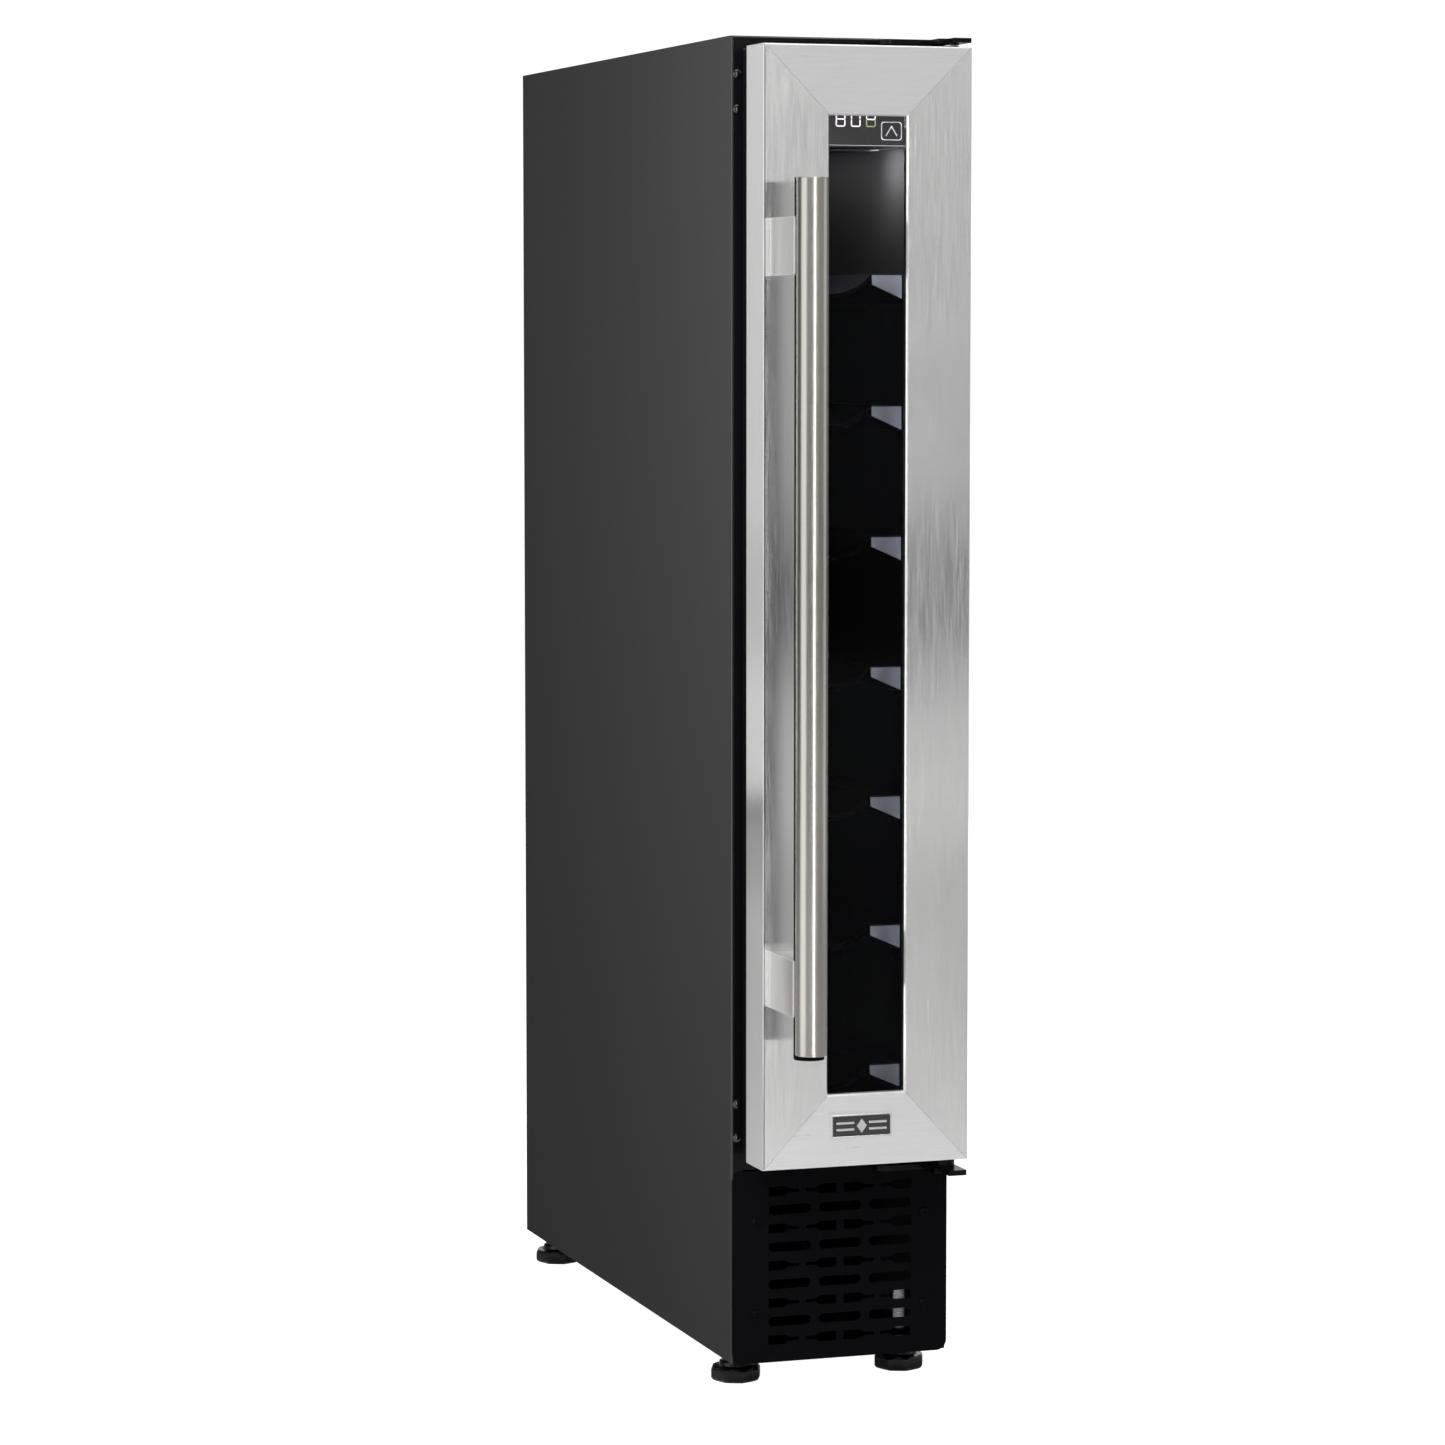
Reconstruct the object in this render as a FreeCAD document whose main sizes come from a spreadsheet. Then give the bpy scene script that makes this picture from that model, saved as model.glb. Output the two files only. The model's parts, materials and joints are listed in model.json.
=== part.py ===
import FreeCAD, Part
import math
import os
import re

import Sketcher

# Slim under-counter wine cooler. Millimetres, +Z up, front faces -Y, +X to the right of
# someone standing in front of it. The origin is on the floor, at the centre of the
# whole object's footprint. Depths are given from the cabinet's front plane: the alias
# "front" is that plane's Y, and a piece ahead of it has a smaller Y.

doc = FreeCAD.newDocument("wine_cooler")
sheet = doc.addObject("Spreadsheet::Sheet", "Dims")

CABINET_DEPTH = 475
HANDLE_REACH = 110

SIZES = {
    # cabinet
    "cab_half": 74,
    "cab_depth": CABINET_DEPTH,
    "cab_bottom": 20,
    "cab_top": 870,
    "front": (HANDLE_REACH - CABINET_DEPTH) / 2,
    "skin": 1,
    "flange": 8,
    "bay_top": 168,
    "sheet_steel": 1.5,
    # cooled space
    "cool_half": 50,
    "cool_floor": 190,
    "cool_roof": 832,
    "cool_depth": 430,
    "liner_wall": 1.5,
    "rim_half": 66,
    "rim_bottom": 146,
    "rim_top": 861,
    # shelves
    "shelf_pitch": 84.5,
    "shelf_low": 298.6,
    "cradle_low": 207,
    "shelf_front": 22,
    "shelf_depth": 366,
    "shelf_half": 49.5,
    "seat_half": 29,
    "bottle_rise": 25.5,
    "seat_radius": 38.5,
    "shelf_sheet": 2.5,
    "wing_drop": 16,
    "valley_half": 35,
    "valley_deep": 30,
    "lip_thick": 4,
    "lip_inner": 7,
    "air_slot_half": 9,
    "air_slot_long": 44,
    "air_slot_first": 52,
    "air_slot_pitch": 64,
    "ledge_wide": 4,
    "ledge_thick": 3.2,
    "ledge_gap": 0.3,
    # control housing
    "control_bottom": 801.5,
    "control_start": 10,
    "control_depth": 100,
    "control_half": 49,
    "control_wall": 2,
    "control_sheet": 2.5,
    "board_half": 42,
    "board_start": 16,
    "board_end": 90,
    "board_bottom": 806.5,
    "board_sheet": 1.6,
    "lamp_left": 12,
    "lamp_right": 44,
    "lamp_start": 48,
    "lamp_end": 60,
    "lamp_proud": 0.4,
    # evaporator, its cover and fan
    "plate_half": 42,
    "plate_bottom": 300,
    "plate_top": 800,
    "plate_gap": 1,
    "plate_thick": 5,
    "run_radius": 2.5,
    "run_half": 38,
    "run_first": 330,
    "run_pitch": 44,
    "cover_depth": 398,
    "cover_half": 49,
    "cover_sheet": 3,
    "cover_bottom": 192,
    "cover_top": 826,
    "cover_hole": 3.2,
    "outlet_half": 34,
    "outlet_first": 224,
    "outlet_pitch": 9,
    "outlet_tall": 4,
    "fan_height": 740,
    "fan_gap": 0.5,
    # door
    "door_half": 69.5,
    "door_bottom": 154,
    "door_top": 862.5,
    "door_face": 50,
    "door_back": 17,
    "door_steel": 1,
    "window_half": 25.7,
    "window_bottom": 200.6,
    "window_top": 818.5,
    "glass_set": 5,
    "glass_sheet": 4,
    "glass_lap": 18,
    "spacer_wide": 7,
    "pane_gap": 12,
    "pane_play": 0.3,
    "stop_reveal": 15.5,
    "panel_half": 64,
    "panel_bottom": 158,
    "panel_top": 858.5,
    "panel_sheet": 5,
    "seal_half": 61,
    "seal_bottom": 170,
    "seal_top": 844,
    "seal_wide": 9,
    "seal_gap": 0.5,
    "badge_left": -24,
    "badge_right": 17,
    "badge_bottom": 172.5,
    "badge_top": 187.5,
    "badge_thick": 1.6,
    # hinge
    "pivot_side": 63,
    "pivot_ahead": 27,
    "pin_radius": 3,
    "bush_radius": 4.5,
    "bush_long": 12,
    "bush_rim": 1.5,
    "pin_play": 0.06,
    "hinge_sheet": 2.5,
    "hinge_low_plate": 143,
    "hinge_low_leg": 197,
    "hinge_high_plate": 865.3,
    "hinge_high_leg": 817,
    "plate_back": -2.3,
    "plate_front": -18,
    "plate_inner": 28,
    "plate_outer": 72,
    "arm_inner": 52,
    "arm_outer": 70,
    "tip_inner": 58,
    "tip_reach": 10,
    "leg_inner": 65.5,
    "leg_outer": 73.5,
    "boss_radius": 6,
    # handle
    "bar_side": -55,
    "bar_ahead": 100,
    "bar_radius": 10,
    "bar_wall": 1.2,
    "bar_bottom": 235,
    "bar_top": 778,
    "bracket_half": 10,
    "bracket_tall": 36,
    "bracket_low": 258,
    "bracket_high": 718.5,
    "backing_radius": 9.6,
    "backing_back": 4.5,
    "backing_below": 3,
    "plug_long": 6,
    # plinth grille
    "grille_bottom": 19.5,
    "grille_top": 145,
    "grille_sheet": 2,
    "vent_first": 131.2,
    "vent_pitch": 12.16,
    "vent_radius": 3.1,
    "grille_corner": 7,
    "screw_side": 58,
    "screw_low": 52,
    "screw_high": 112,
    "screw_radius": 3,
    "screw_head": 1.6,
    "hinge_hole_side": 70,
    "hinge_head_side": 69.7,
    "hinge_head_radius": 2.8,
    # machine bay
    "coil_front": 85,
    "coil_deep": 55,
    "cfan_front": 160,
    "cfan_half": 60,
    "cfan_height": 86,
    "compressor_back": 400,
    "compressor_radius": 48,
    "compressor_bottom": 36,
    "compressor_tall": 104,
    "coil_half": 46,
    "coil_bottom": 34,
    "coil_top": 140,
    "fin_pitch": 6.5,
    "fin_sheet": 0.8,
    "tube_radius": 3.2,
    "tube_half": 49,
    "tube_low": 46,
    "tube_rise": 20,
    "tube_start": 12,
    "tube_step": 15,
    "cfan_deep": 25,
    "grommet_side": 57,
    "grommet_ahead": 24,
    "grommet_radius": 9,
    "grommet_neck": 5.9,
    "foot_plate": 3,
    "pan_half": 46,
    "pan_long_half": 50,
    "pan_wall": 1.5,
    "pan_gap": 2,
    "pan_tall": 12,
    "rear_vent_low": 70,
    "rear_vent_pitch": 12,
    "rear_vent_tall": 5,
    "rear_vent_inner": 14,
    "rear_vent_outer": 58,
    "gland_side": -50,
    "gland_height": 44,
    "gland_radius": 8,
    "gland_nut": 10.5,
    "gland_bore": 4,
    "gland_long": 13,
    # feet
    "foot_side": 57,
    "foot_front": 41,
    "foot_rear": 450,
    "foot_radius": 17,
    "stud_radius": 4,
    "stud_top": 56,
    "stud_play": 0.06,
    "weld_nut": 8,
    "weld_nut_tall": 6,
}

for row, (alias, size) in enumerate(SIZES.items(), start=1):
    sheet.set(f"A{row}", alias)
    sheet.set(f"B{row}", str(size))
    sheet.setAlias(f"B{row}", alias)
doc.recompute()

ALIAS = re.compile(r"\b(" + "|".join(SIZES) + r")\b")
nodes = {}


# ---- building blocks: every size is an expression over the sheet ------------------------


def named(text):
    return ALIAS.sub(r"Dims.\1", str(text))


def value(text):
    return float(sheet.evalExpression(named(text)))


def bind(item, **sizes):
    for prop, text in sizes.items():
        item.setExpression(prop.replace("__", "."), named(text))


def place(item, x=0, y=0, z=0):
    bind(item, Placement__Base__x=x, Placement__Base__y=y, Placement__Base__z=z)


def turn(item, axis, angle):
    item.Placement.Rotation = FreeCAD.Rotation(FreeCAD.Vector(*axis), angle)


def keep(item, label):
    item.Label = label
    nodes[label] = item
    return item


def block(name, x, y, z):
    """A box from the first to the second value of each pair; y counts from the front."""
    item = doc.addObject("Part::Box", name)
    for prop, (low, high) in zip(("Length", "Width", "Height"), (x, y, z)):
        bind(item, **{prop: f"({high}) - ({low})"})
    place(item, x[0], f"front + ({y[0]})", z[0])
    return item


TURNS = {"z": ((0, 0, 1), 0), "y": ((1, 0, 0), -90), "x": ((0, 1, 0), 90)}


def rod(name, radius, along, x, y, z, axis="z"):
    """A cylinder; the coordinate on its own axis is its start and along is its length."""
    item = doc.addObject("Part::Cylinder", name)
    bind(item, Radius=radius, Height=along)
    turn(item, *TURNS[axis])
    place(item, x, f"front + ({y})", z)
    return item


def joined(name, *items):
    item = doc.addObject("Part::MultiFuse", name)
    item.Shapes = list(items)
    item.Refine = True
    return item


def less(name, base, *tools):
    item = doc.addObject("Part::Cut", name)
    item.Base = base
    item.Tool = tools[0] if len(tools) == 1 else joined(name + "_tools", *tools)
    return item


def shared(name, base, tool):
    item = doc.addObject("Part::Common", name)
    item.Base = base
    item.Tool = tool
    return item


def origin_plane(body, role):
    return next(f for f in body.Origin.OriginFeatures if f.Role == role)


def hold_point(sketch, line, x, y):
    """Ties a line's start to the sketch origin by two bound distances."""
    for kind, text, axis in (("DistanceX", x, -2), ("DistanceY", y, -1)):
        amount = value(text)
        if amount == 0:
            sketch.addConstraint(Sketcher.Constraint("PointOnObject", line, 1, axis))
        else:
            rule = Sketcher.Constraint(kind, -1, 1, line, 1, amount)
            index = sketch.addConstraint(rule)
            bind(sketch, **{f"Constraints[{index}]": text})


def outline(body, name, role, corners):
    """A closed sketch with straight sides on one of the body's origin planes."""
    sketch = body.newObject("Sketcher::SketchObject", name)
    sketch.AttachmentSupport = (origin_plane(body, role), [""])
    sketch.MapMode = "FlatFace"
    spots = [FreeCAD.Vector(value(x), value(y), 0) for x, y in corners]
    for here, there in zip(spots, spots[1:] + spots[:1]):
        sketch.addGeometry(Part.LineSegment(here, there), False)
    for line, (x, y) in enumerate(corners):
        after = (line + 1) % len(corners)
        sketch.addConstraint(Sketcher.Constraint("Coincident", line, 2, after, 1))
        hold_point(sketch, line, x, y)
    return sketch


def front_plate(name, corners, y):
    """A plate drawn as seen from the front (X and Z) and padded through its depth."""
    body = doc.addObject("PartDesign::Body", name)
    sketch = outline(body, name + "_sketch", "XZ_Plane", corners)
    bind(sketch, AttachmentOffset__Base__z=f"-(front + ({y[1]}))")
    pad = body.newObject("PartDesign::Pad", name + "_pad")
    pad.Profile = sketch
    bind(pad, Length=f"({y[1]}) - ({y[0]})")
    return body


def turned(name, corners):
    """A body of revolution about Z, from a half outline of radius and height."""
    body = doc.addObject("PartDesign::Body", name)
    sketch = outline(body, name + "_sketch", "XZ_Plane", corners)
    spin = body.newObject("PartDesign::Revolution", name + "_spin")
    spin.Profile = sketch
    spin.ReferenceAxis = (sketch, ["V_Axis"])
    spin.Angle = 360
    return body


def frame_ring(name, half, low, high, hole_half, hole_low, hole_high, y):
    """A rectangular ring seen from the front."""
    ring = block(name + "_full", (f"-({half})", half), y, (low, high))
    deep = (f"({y[0]}) - 1", f"({y[1]}) + 1")
    hole = block(name + "_hole", (f"-({hole_half})", hole_half), deep, (hole_low, hole_high))
    return less(name, ring, hole)


def bent_tube(points, radius, bend):
    """A tube along straight runs joined by tangent arcs of one bend radius."""
    spots = [FreeCAD.Vector(*point) for point in points]
    edges = []
    start = spots[0]
    for before, corner, after in zip(spots, spots[1:], spots[2:]):
        back = (before - corner).normalize()
        ahead = (after - corner).normalize()
        half_turn = (math.pi - back.getAngle(ahead)) / 2
        reach = bend * math.tan(half_turn)
        middle = (back + ahead).normalize()
        leave = corner + back * reach
        meet = corner + ahead * reach
        crown = corner + middle * (bend / math.cos(half_turn) - bend)
        edges.append(Part.LineSegment(start, leave).toShape())
        edges.append(Part.Arc(leave, crown, meet).toShape())
        start = meet
    edges.append(Part.LineSegment(start, spots[-1]).toShape())
    path = Part.Wire(edges)
    ring = Part.Wire(Part.makeCircle(radius, spots[0], spots[1] - spots[0]))
    return path.makePipeShell([ring], True, False)


# ---- cabinet shell ----------------------------------------------------------------------


def side_panel(label, side):
    """A folded steel side: the web, and the flange that it turns in at the front."""
    inner = f"{side} * (cab_half - skin)"
    outer = f"{side} * cab_half"
    lip = f"{side} * (cab_half - flange)"
    web_x = (outer, inner) if side < 0 else (inner, outer)
    web_y = ("skin", "cab_depth")
    web = block(label + "_web", web_x, web_y, ("cab_bottom", "cab_top"))
    corners = [
        (outer, "cab_bottom"),
        (outer, "cab_top"),
        (lip, "cab_top - flange"),
        (lip, "cab_bottom"),
    ]
    lip_plate = front_plate(label + "_flange", corners, (0, "skin"))
    keep(joined(label + "_whole", web, lip_plate), label)


def cabinet_shell():
    side_panel("left_side_panel", -1)
    side_panel("right_side_panel", 1)

    inside = ("-(cab_half - skin)", "cab_half - skin")
    top = block("top_sheet", inside, ("skin", "cab_depth"), ("cab_top - skin", "cab_top"))
    lip = front_plate(
        "top_flange",
        [
            ("-cab_half", "cab_top"),
            ("cab_half", "cab_top"),
            ("cab_half - flange", "cab_top - flange"),
            ("-(cab_half - flange)", "cab_top - flange"),
        ],
        (0, "skin"),
    )
    keep(joined("top_whole", top, lip), "top_panel")

    back = ("cab_depth - skin", "cab_depth")
    rear = block("rear_sheet", inside, back, ("bay_top", "cab_top - skin"))
    keep(rear, "rear_panel")

    floor = ("cab_bottom", "cab_bottom + sheet_steel")
    tray = block("tray_sheet", inside, ("skin", "cab_depth - skin"), floor)
    holes = [
        rod(f"tray_hole_{i}", "stud_radius + stud_play", "stud_top", x, y, 0)
        for i, (x, y) in enumerate(foot_places())
    ]
    nuts = [
        rod(f"weld_nut_{i}", "weld_nut", "weld_nut_tall", x, y, "cab_bottom + sheet_steel")
        for i, (x, y) in enumerate(foot_places())
    ]
    keep(less("tray_cut", joined("tray_nuts", tray, *nuts), *holes), "base_tray")

    roof_y = ("sheet_steel", "cab_depth - skin")
    roof = block("roof_sheet", inside, roof_y, ("bay_top - sheet_steel", "bay_top"))
    keep(roof, "machine_bay_roof")


def foot_places():
    for y in ("foot_front", "foot_rear"):
        for x in ("-foot_side", "foot_side"):
            yield x, y


def feet():
    """Four levelling feet: a stepped disc, a collar under the tray, a threaded stud."""
    names = ("foot_front_left", "foot_front_right", "foot_rear_left", "foot_rear_right")
    half_outline = [
        ("0", "0"),
        ("foot_radius - 1.5", "0"),
        ("foot_radius", "1.5"),
        ("foot_radius", "5"),
        ("foot_radius - 1.5", "6.5"),
        ("12.5", "8"),
        ("12.5", "11"),
        ("9", "12.5"),
        ("9", "cab_bottom"),
        ("stud_radius", "cab_bottom"),
        ("stud_radius", "stud_top - 1"),
        ("stud_radius - 1", "stud_top"),
        ("0", "stud_top"),
    ]
    for name, (x, y) in zip(names, foot_places()):
        foot = turned(name + "_body", half_outline)
        place(foot, x, f"front + {y}")
        keep(foot, name)


# ---- cooled space -----------------------------------------------------------------------


SHELVES = 6
AIR_SLOTS = 5


def shelf_heights():
    return [f"shelf_low + {step} * shelf_pitch" for step in range(SHELVES)]


def inner_liner():
    wall = "liner_wall"
    outer = block(
        "liner_outer",
        (f"-(cool_half + {wall})", f"cool_half + {wall}"),
        (0, f"cool_depth + {wall}"),
        (f"cool_floor - {wall}", f"cool_roof + {wall}"),
    )
    rim = block("liner_rim", ("-rim_half", "rim_half"), (0, wall), ("rim_bottom", "rim_top"))
    inner = block(
        "liner_space",
        ("-cool_half", "cool_half"),
        (-1, "cool_depth"),
        ("cool_floor", "cool_roof"),
    )
    shell = less("liner_shell", joined("liner_full", outer, rim), inner)
    ledges = []
    for step, height in enumerate(shelf_heights()):
        for side in (-1, 1):
            near = f"{side} * (cool_half - ledge_wide)"
            wall_x = f"{side} * cool_half"
            x = (near, wall_x) if side > 0 else (wall_x, near)
            y = ("shelf_front", "shelf_front + shelf_depth")
            top = f"{height} - wing_drop - ledge_gap"
            z = (f"{top} - ledge_thick", top)
            ledges.append(block(f"ledge_{step}_{side + 1}", x, y, z))
    keep(joined("liner_whole", shell, *ledges), "inner_liner")


def foam():
    inside = ("-(cab_half - skin)", "cab_half - skin")
    depth = ("liner_wall", "cab_depth - skin")
    full = block("foam_full", inside, depth, ("bay_top", "cab_top - skin"))
    space = block(
        "foam_space",
        ("-(cool_half + liner_wall)", "cool_half + liner_wall"),
        (0, "cool_depth + liner_wall"),
        ("cool_floor - liner_wall", "cool_roof + liner_wall"),
    )
    keep(less("foam_cut", full, space), "foam_insulation")


def mirrored(side, inner, outer):
    """A pair of X values, low first, on the side that is -1 or 1."""
    pair = [f"{side} * ({inner})", f"{side} * ({outer})"]
    return pair if side > 0 else pair[::-1]


def shelf(label, height):
    """A moulded cradle: two flat wings, a round valley for one bottle, and side rails."""
    centre = f"{height} + bottle_rise"
    y = ("shelf_front", "shelf_front + shelf_depth")
    depth = (f"{height} - valley_deep", height)
    bowl_radius = "seat_radius + shelf_sheet"
    bowl = rod(label + "_bowl", bowl_radius, "shelf_depth", 0, "shelf_front", centre, "y")
    under = block(label + "_under", ("-valley_half", "valley_half"), y, depth)
    solids = [shared(label + "_valley", bowl, under)]
    for side in (-1, 1):
        wing_z = (f"{height} - shelf_sheet", height)
        wing_x = mirrored(side, "seat_half", "shelf_half")
        solids.append(block(f"{label}_wing_{side + 1}", wing_x, y, wing_z))
        rail_z = (f"{height} - wing_drop", height)
        rail_x = mirrored(side, "shelf_half - shelf_sheet", "shelf_half")
        solids.append(block(f"{label}_rail_{side + 1}", rail_x, y, rail_z))
        corners = [
            (f"{side} * shelf_half", height),
            (f"{side} * seat_half", height),
            (f"{side} * seat_half", f"{height} - lip_inner"),
            (f"{side} * shelf_half", f"{height} - wing_drop"),
        ]
        lip_y = ("shelf_front", "shelf_front + lip_thick")
        solids.append(front_plate(f"{label}_lip_{side + 1}", corners, lip_y))
    past = "shelf_depth + 2"
    seat = rod(label + "_seat", "seat_radius", past, 0, "shelf_front - 1", centre, "y")
    slots = []
    for step in range(AIR_SLOTS):
        start = f"air_slot_first + {step} * air_slot_pitch"
        slot_y = (start, f"{start} + air_slot_long")
        wide = ("-air_slot_half", "air_slot_half")
        slots.append(block(f"{label}_slot_{step}", wide, slot_y, depth))
    keep(less(label + "_cut", joined(label + "_full", *solids), seat, *slots), label)


def shelves():
    for number, height in enumerate(reversed(shelf_heights()), start=1):
        shelf(f"shelf_{number}", height)
    shelf("floor_cradle", "cradle_low")


# left edge, front edge, size in X, size in Y and height above the board
BOARD_PARTS = (
    (-34, 26, 10, 12, 11.4),
    (-10, 30, 10, 12, 5.4),
    (14, 24, 10, 12, 15.4),
    (-12, 60, 10, 12, 17.4),
)


def control_unit():
    """The box under the cooled space's roof: its shell, front face, board and lamp."""
    z = ("control_bottom", "cool_roof - 0.5")
    wide = ("-control_half", "control_half")
    depth = ("control_start", "control_start + control_depth")
    shell = block("control_full", wide, depth, z)
    space = block(
        "control_space",
        ("-(control_half - control_wall)", "control_half - control_wall"),
        ("control_start + control_wall", "control_start + control_depth - control_wall"),
        ("control_bottom + control_wall", "cool_roof"),
    )
    lamp_x, lamp_y = ("lamp_left", "lamp_right"), ("lamp_start", "lamp_end")
    lamp_seat = block("lamp_seat", lamp_x, lamp_y, ("control_bottom - 1", "control_bottom + 5"))
    keep(less("control_shell", shell, space, lamp_seat), "control_housing")
    face_y = ("control_start - control_sheet", "control_start")
    keep(block("control_plate", wide, face_y, z), "control_face")

    board_top = "board_bottom + board_sheet"
    board = block(
        "board_plate",
        ("-board_half", "board_half"),
        ("board_start", "board_end"),
        ("board_bottom", board_top),
    )
    chips = []
    for i, (left, start, wide_x, wide_y, tall) in enumerate(BOARD_PARTS):
        x, y = (left, left + wide_x), (start, start + wide_y)
        chips.append(block(f"board_part_{i}", x, y, (board_top, f"{board_top} + {tall}")))
    keep(joined("board_whole", board, *chips), "control_board")

    lamp_z = ("control_bottom - lamp_proud", "control_bottom + control_wall")
    keep(block("lamp_lens", lamp_x, lamp_y, lamp_z), "led_lamp")


EVAPORATOR_RUNS = 11
OUTLETS = 6
# radius of each ring of holes over the fan, and how many it has
COVER_RINGS = ((10, 6), (20, 12), (30, 18))


def cover_holes():
    """Rings of round holes in the cover, centred on the fan's axis."""
    holes = []
    for radius, count in COVER_RINGS:
        for step in range(count):
            angle = math.tau * step / count
            x = round(radius * math.cos(angle), 3)
            z = f"fan_height + {round(radius * math.sin(angle), 3)}"
            name = f"cover_hole_{radius}_{step}"
            holes.append(
                rod(name, "cover_hole", "cover_sheet + 2", x, "cover_depth - 1", z, "y")
            )
    return holes


def cold_wall():
    """The evaporator on the rear wall, its vented cover and the air circulation fan."""
    plate_start = "cool_depth - plate_gap - plate_thick"
    plate = block(
        "evaporator_plate",
        ("-plate_half", "plate_half"),
        (plate_start, "cool_depth - plate_gap"),
        ("plate_bottom", "plate_top"),
    )
    runs = []
    for step in range(EVAPORATOR_RUNS):
        height = f"run_first + {step} * run_pitch"
        name = f"evaporator_run_{step}"
        runs.append(
            rod(name, "run_radius", "2 * run_half", "-run_half", plate_start, height, "x")
        )
    keep(joined("evaporator_whole", plate, *runs), "evaporator")

    cover = block(
        "cover_plate",
        ("-cover_half", "cover_half"),
        ("cover_depth", "cover_depth + cover_sheet"),
        ("cover_bottom", "cover_top"),
    )
    outlets = []
    for step in range(OUTLETS):
        low = f"outlet_first + {step} * outlet_pitch"
        x = ("-outlet_half", "outlet_half")
        y = ("cover_depth - 1", "cover_depth + cover_sheet + 1")
        outlets.append(block(f"cover_outlet_{step}", x, y, (low, f"{low} + outlet_tall")))
    keep(less("cover_cut", cover, *cover_holes(), *outlets), "evaporator_cover")

    start = "cover_depth + cover_sheet + fan_gap"
    fan("evaporator", half=36, start=start, deep=14, height="fan_height", blade=31, hub=11)


FAN_BLADES = 7
BLADE_SHEET = 1.4
BLADE_PITCH = 52
BLADE_GAP = 2
STRUT_HALF = 2
STRUT_DEEP = 3
ROTOR_START = 1.5
STUB_START = 4
STUB_RADIUS = 1.5
STUB_PLAY = 0.06
ROTOR_SHORTER = 5


def fan_frame(prefix, half, start, deep, height, blade, hub):
    """A square frame with a round throat, struts at its back and a stub shaft."""
    end = f"({start}) + {deep}"
    frame_z = (f"({height}) - {half}", f"({height}) + {half}")
    full = block(f"{prefix}_fan_block", (-half, half), (start, end), frame_z)
    throat = rod(
        f"{prefix}_fan_throat", blade + BLADE_GAP, deep + 2, 0, f"({start}) - 1", height, "y"
    )
    ring = less(f"{prefix}_fan_ring", full, throat)
    strut_y = (f"{end} - {STRUT_DEEP}", end)
    thin_z = (f"({height}) - {STRUT_HALF}", f"({height}) + {STRUT_HALF}")
    across = block(f"{prefix}_strut_across", (-half, half), strut_y, thin_z)
    upright = block(f"{prefix}_strut_up", (-STRUT_HALF, STRUT_HALF), strut_y, frame_z)
    boss = rod(f"{prefix}_boss", hub, STRUT_DEEP, 0, strut_y[0], height, "y")
    stub_y = f"({start}) + {STUB_START}"
    stub = rod(f"{prefix}_stub", STUB_RADIUS, deep - STUB_START - 1, 0, stub_y, height, "y")
    keep(
        joined(f"{prefix}_fan_whole", ring, across, upright, boss, stub), f"{prefix}_fan_frame"
    )


def fan(prefix, half, start, deep, height, blade, hub):
    """A square box fan that blows along Y: its frame and its rotor."""
    fan_frame(prefix, half, start, deep, height, blade, hub)
    rotor_deep = deep - ROTOR_SHORTER
    rotor_y = f"({start}) + {ROTOR_START}"
    solids = [rod(f"{prefix}_hub", hub, rotor_deep, 0, rotor_y, height, "y")]
    for step in range(FAN_BLADES):
        vane = doc.addObject("Part::Box", f"{prefix}_blade_{step}")
        vane.Length = blade - hub + 2
        vane.Width = BLADE_SHEET
        vane.Height = rotor_deep * 1.2
        middle = (value(f"front + {rotor_y} + {rotor_deep} / 2"), value(height))
        seat = FreeCAD.Vector(hub - 2, -BLADE_SHEET / 2, -vane.Height.Value / 2)
        pitch = FreeCAD.Rotation(FreeCAD.Vector(1, 0, 0), BLADE_PITCH)
        spoke = FreeCAD.Rotation(FreeCAD.Vector(0, 1, 0), 360 * step / FAN_BLADES)
        at_hub = FreeCAD.Placement(FreeCAD.Vector(0, *middle), spoke)
        pitched = at_hub * FreeCAD.Placement(FreeCAD.Vector(), pitch)
        vane.Placement = pitched * FreeCAD.Placement(seat, FreeCAD.Rotation())
        solids.append(vane)
    socket_y = f"({start}) + {STUB_START} - 0.5"
    socket = rod(
        f"{prefix}_socket", STUB_RADIUS + STUB_PLAY, rotor_deep, 0, socket_y, height, "y"
    )
    rotor = less(f"{prefix}_rotor_cut", joined(f"{prefix}_rotor_full", *solids), socket)
    keep(rotor, f"{prefix}_fan_rotor")


# ---- machine bay ------------------------------------------------------------------------


FINS = 15
TUBE_ROWS = 5
TUBE_COLUMNS = 3


def condenser():
    """A block of thin fins on level tubes, and the fan that draws air through it."""
    y = ("coil_front", "coil_front + coil_deep")
    z = ("coil_bottom", "coil_top")
    solids = []
    for step in range(FINS):
        left = f"{step} * fin_pitch - coil_half"
        solids.append(block(f"fin_{step}", (left, f"{left} + fin_sheet"), y, z))
    for row in range(TUBE_ROWS):
        for column in range(TUBE_COLUMNS):
            at_y = f"coil_front + tube_start + {column} * tube_step"
            at_z = f"tube_low + {row} * tube_rise"
            name = f"coil_tube_{row}_{column}"
            solids.append(
                rod(name, "tube_radius", "2 * tube_half", "-tube_half", at_y, at_z, "x")
            )
    keep(joined("condenser_whole", *solids), "condenser_coil")
    fan(
        "condenser",
        half=value("cfan_half"),
        start="cfan_front",
        deep=value("cfan_deep"),
        height="cfan_height",
        blade=52,
        hub=18,
    )


# distance from the can's bottom, its port's X, and the terminal box's size
SEAM_RISE = 52
PORTS = ((30, 96), (-30, 84))
TERMINAL_HALF = 22
TERMINAL_Y = (-74, -50.3)
TERMINAL_Z = (62, 112)
DOME_TOP = 26
DOME_BOTTOM = 22


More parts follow.
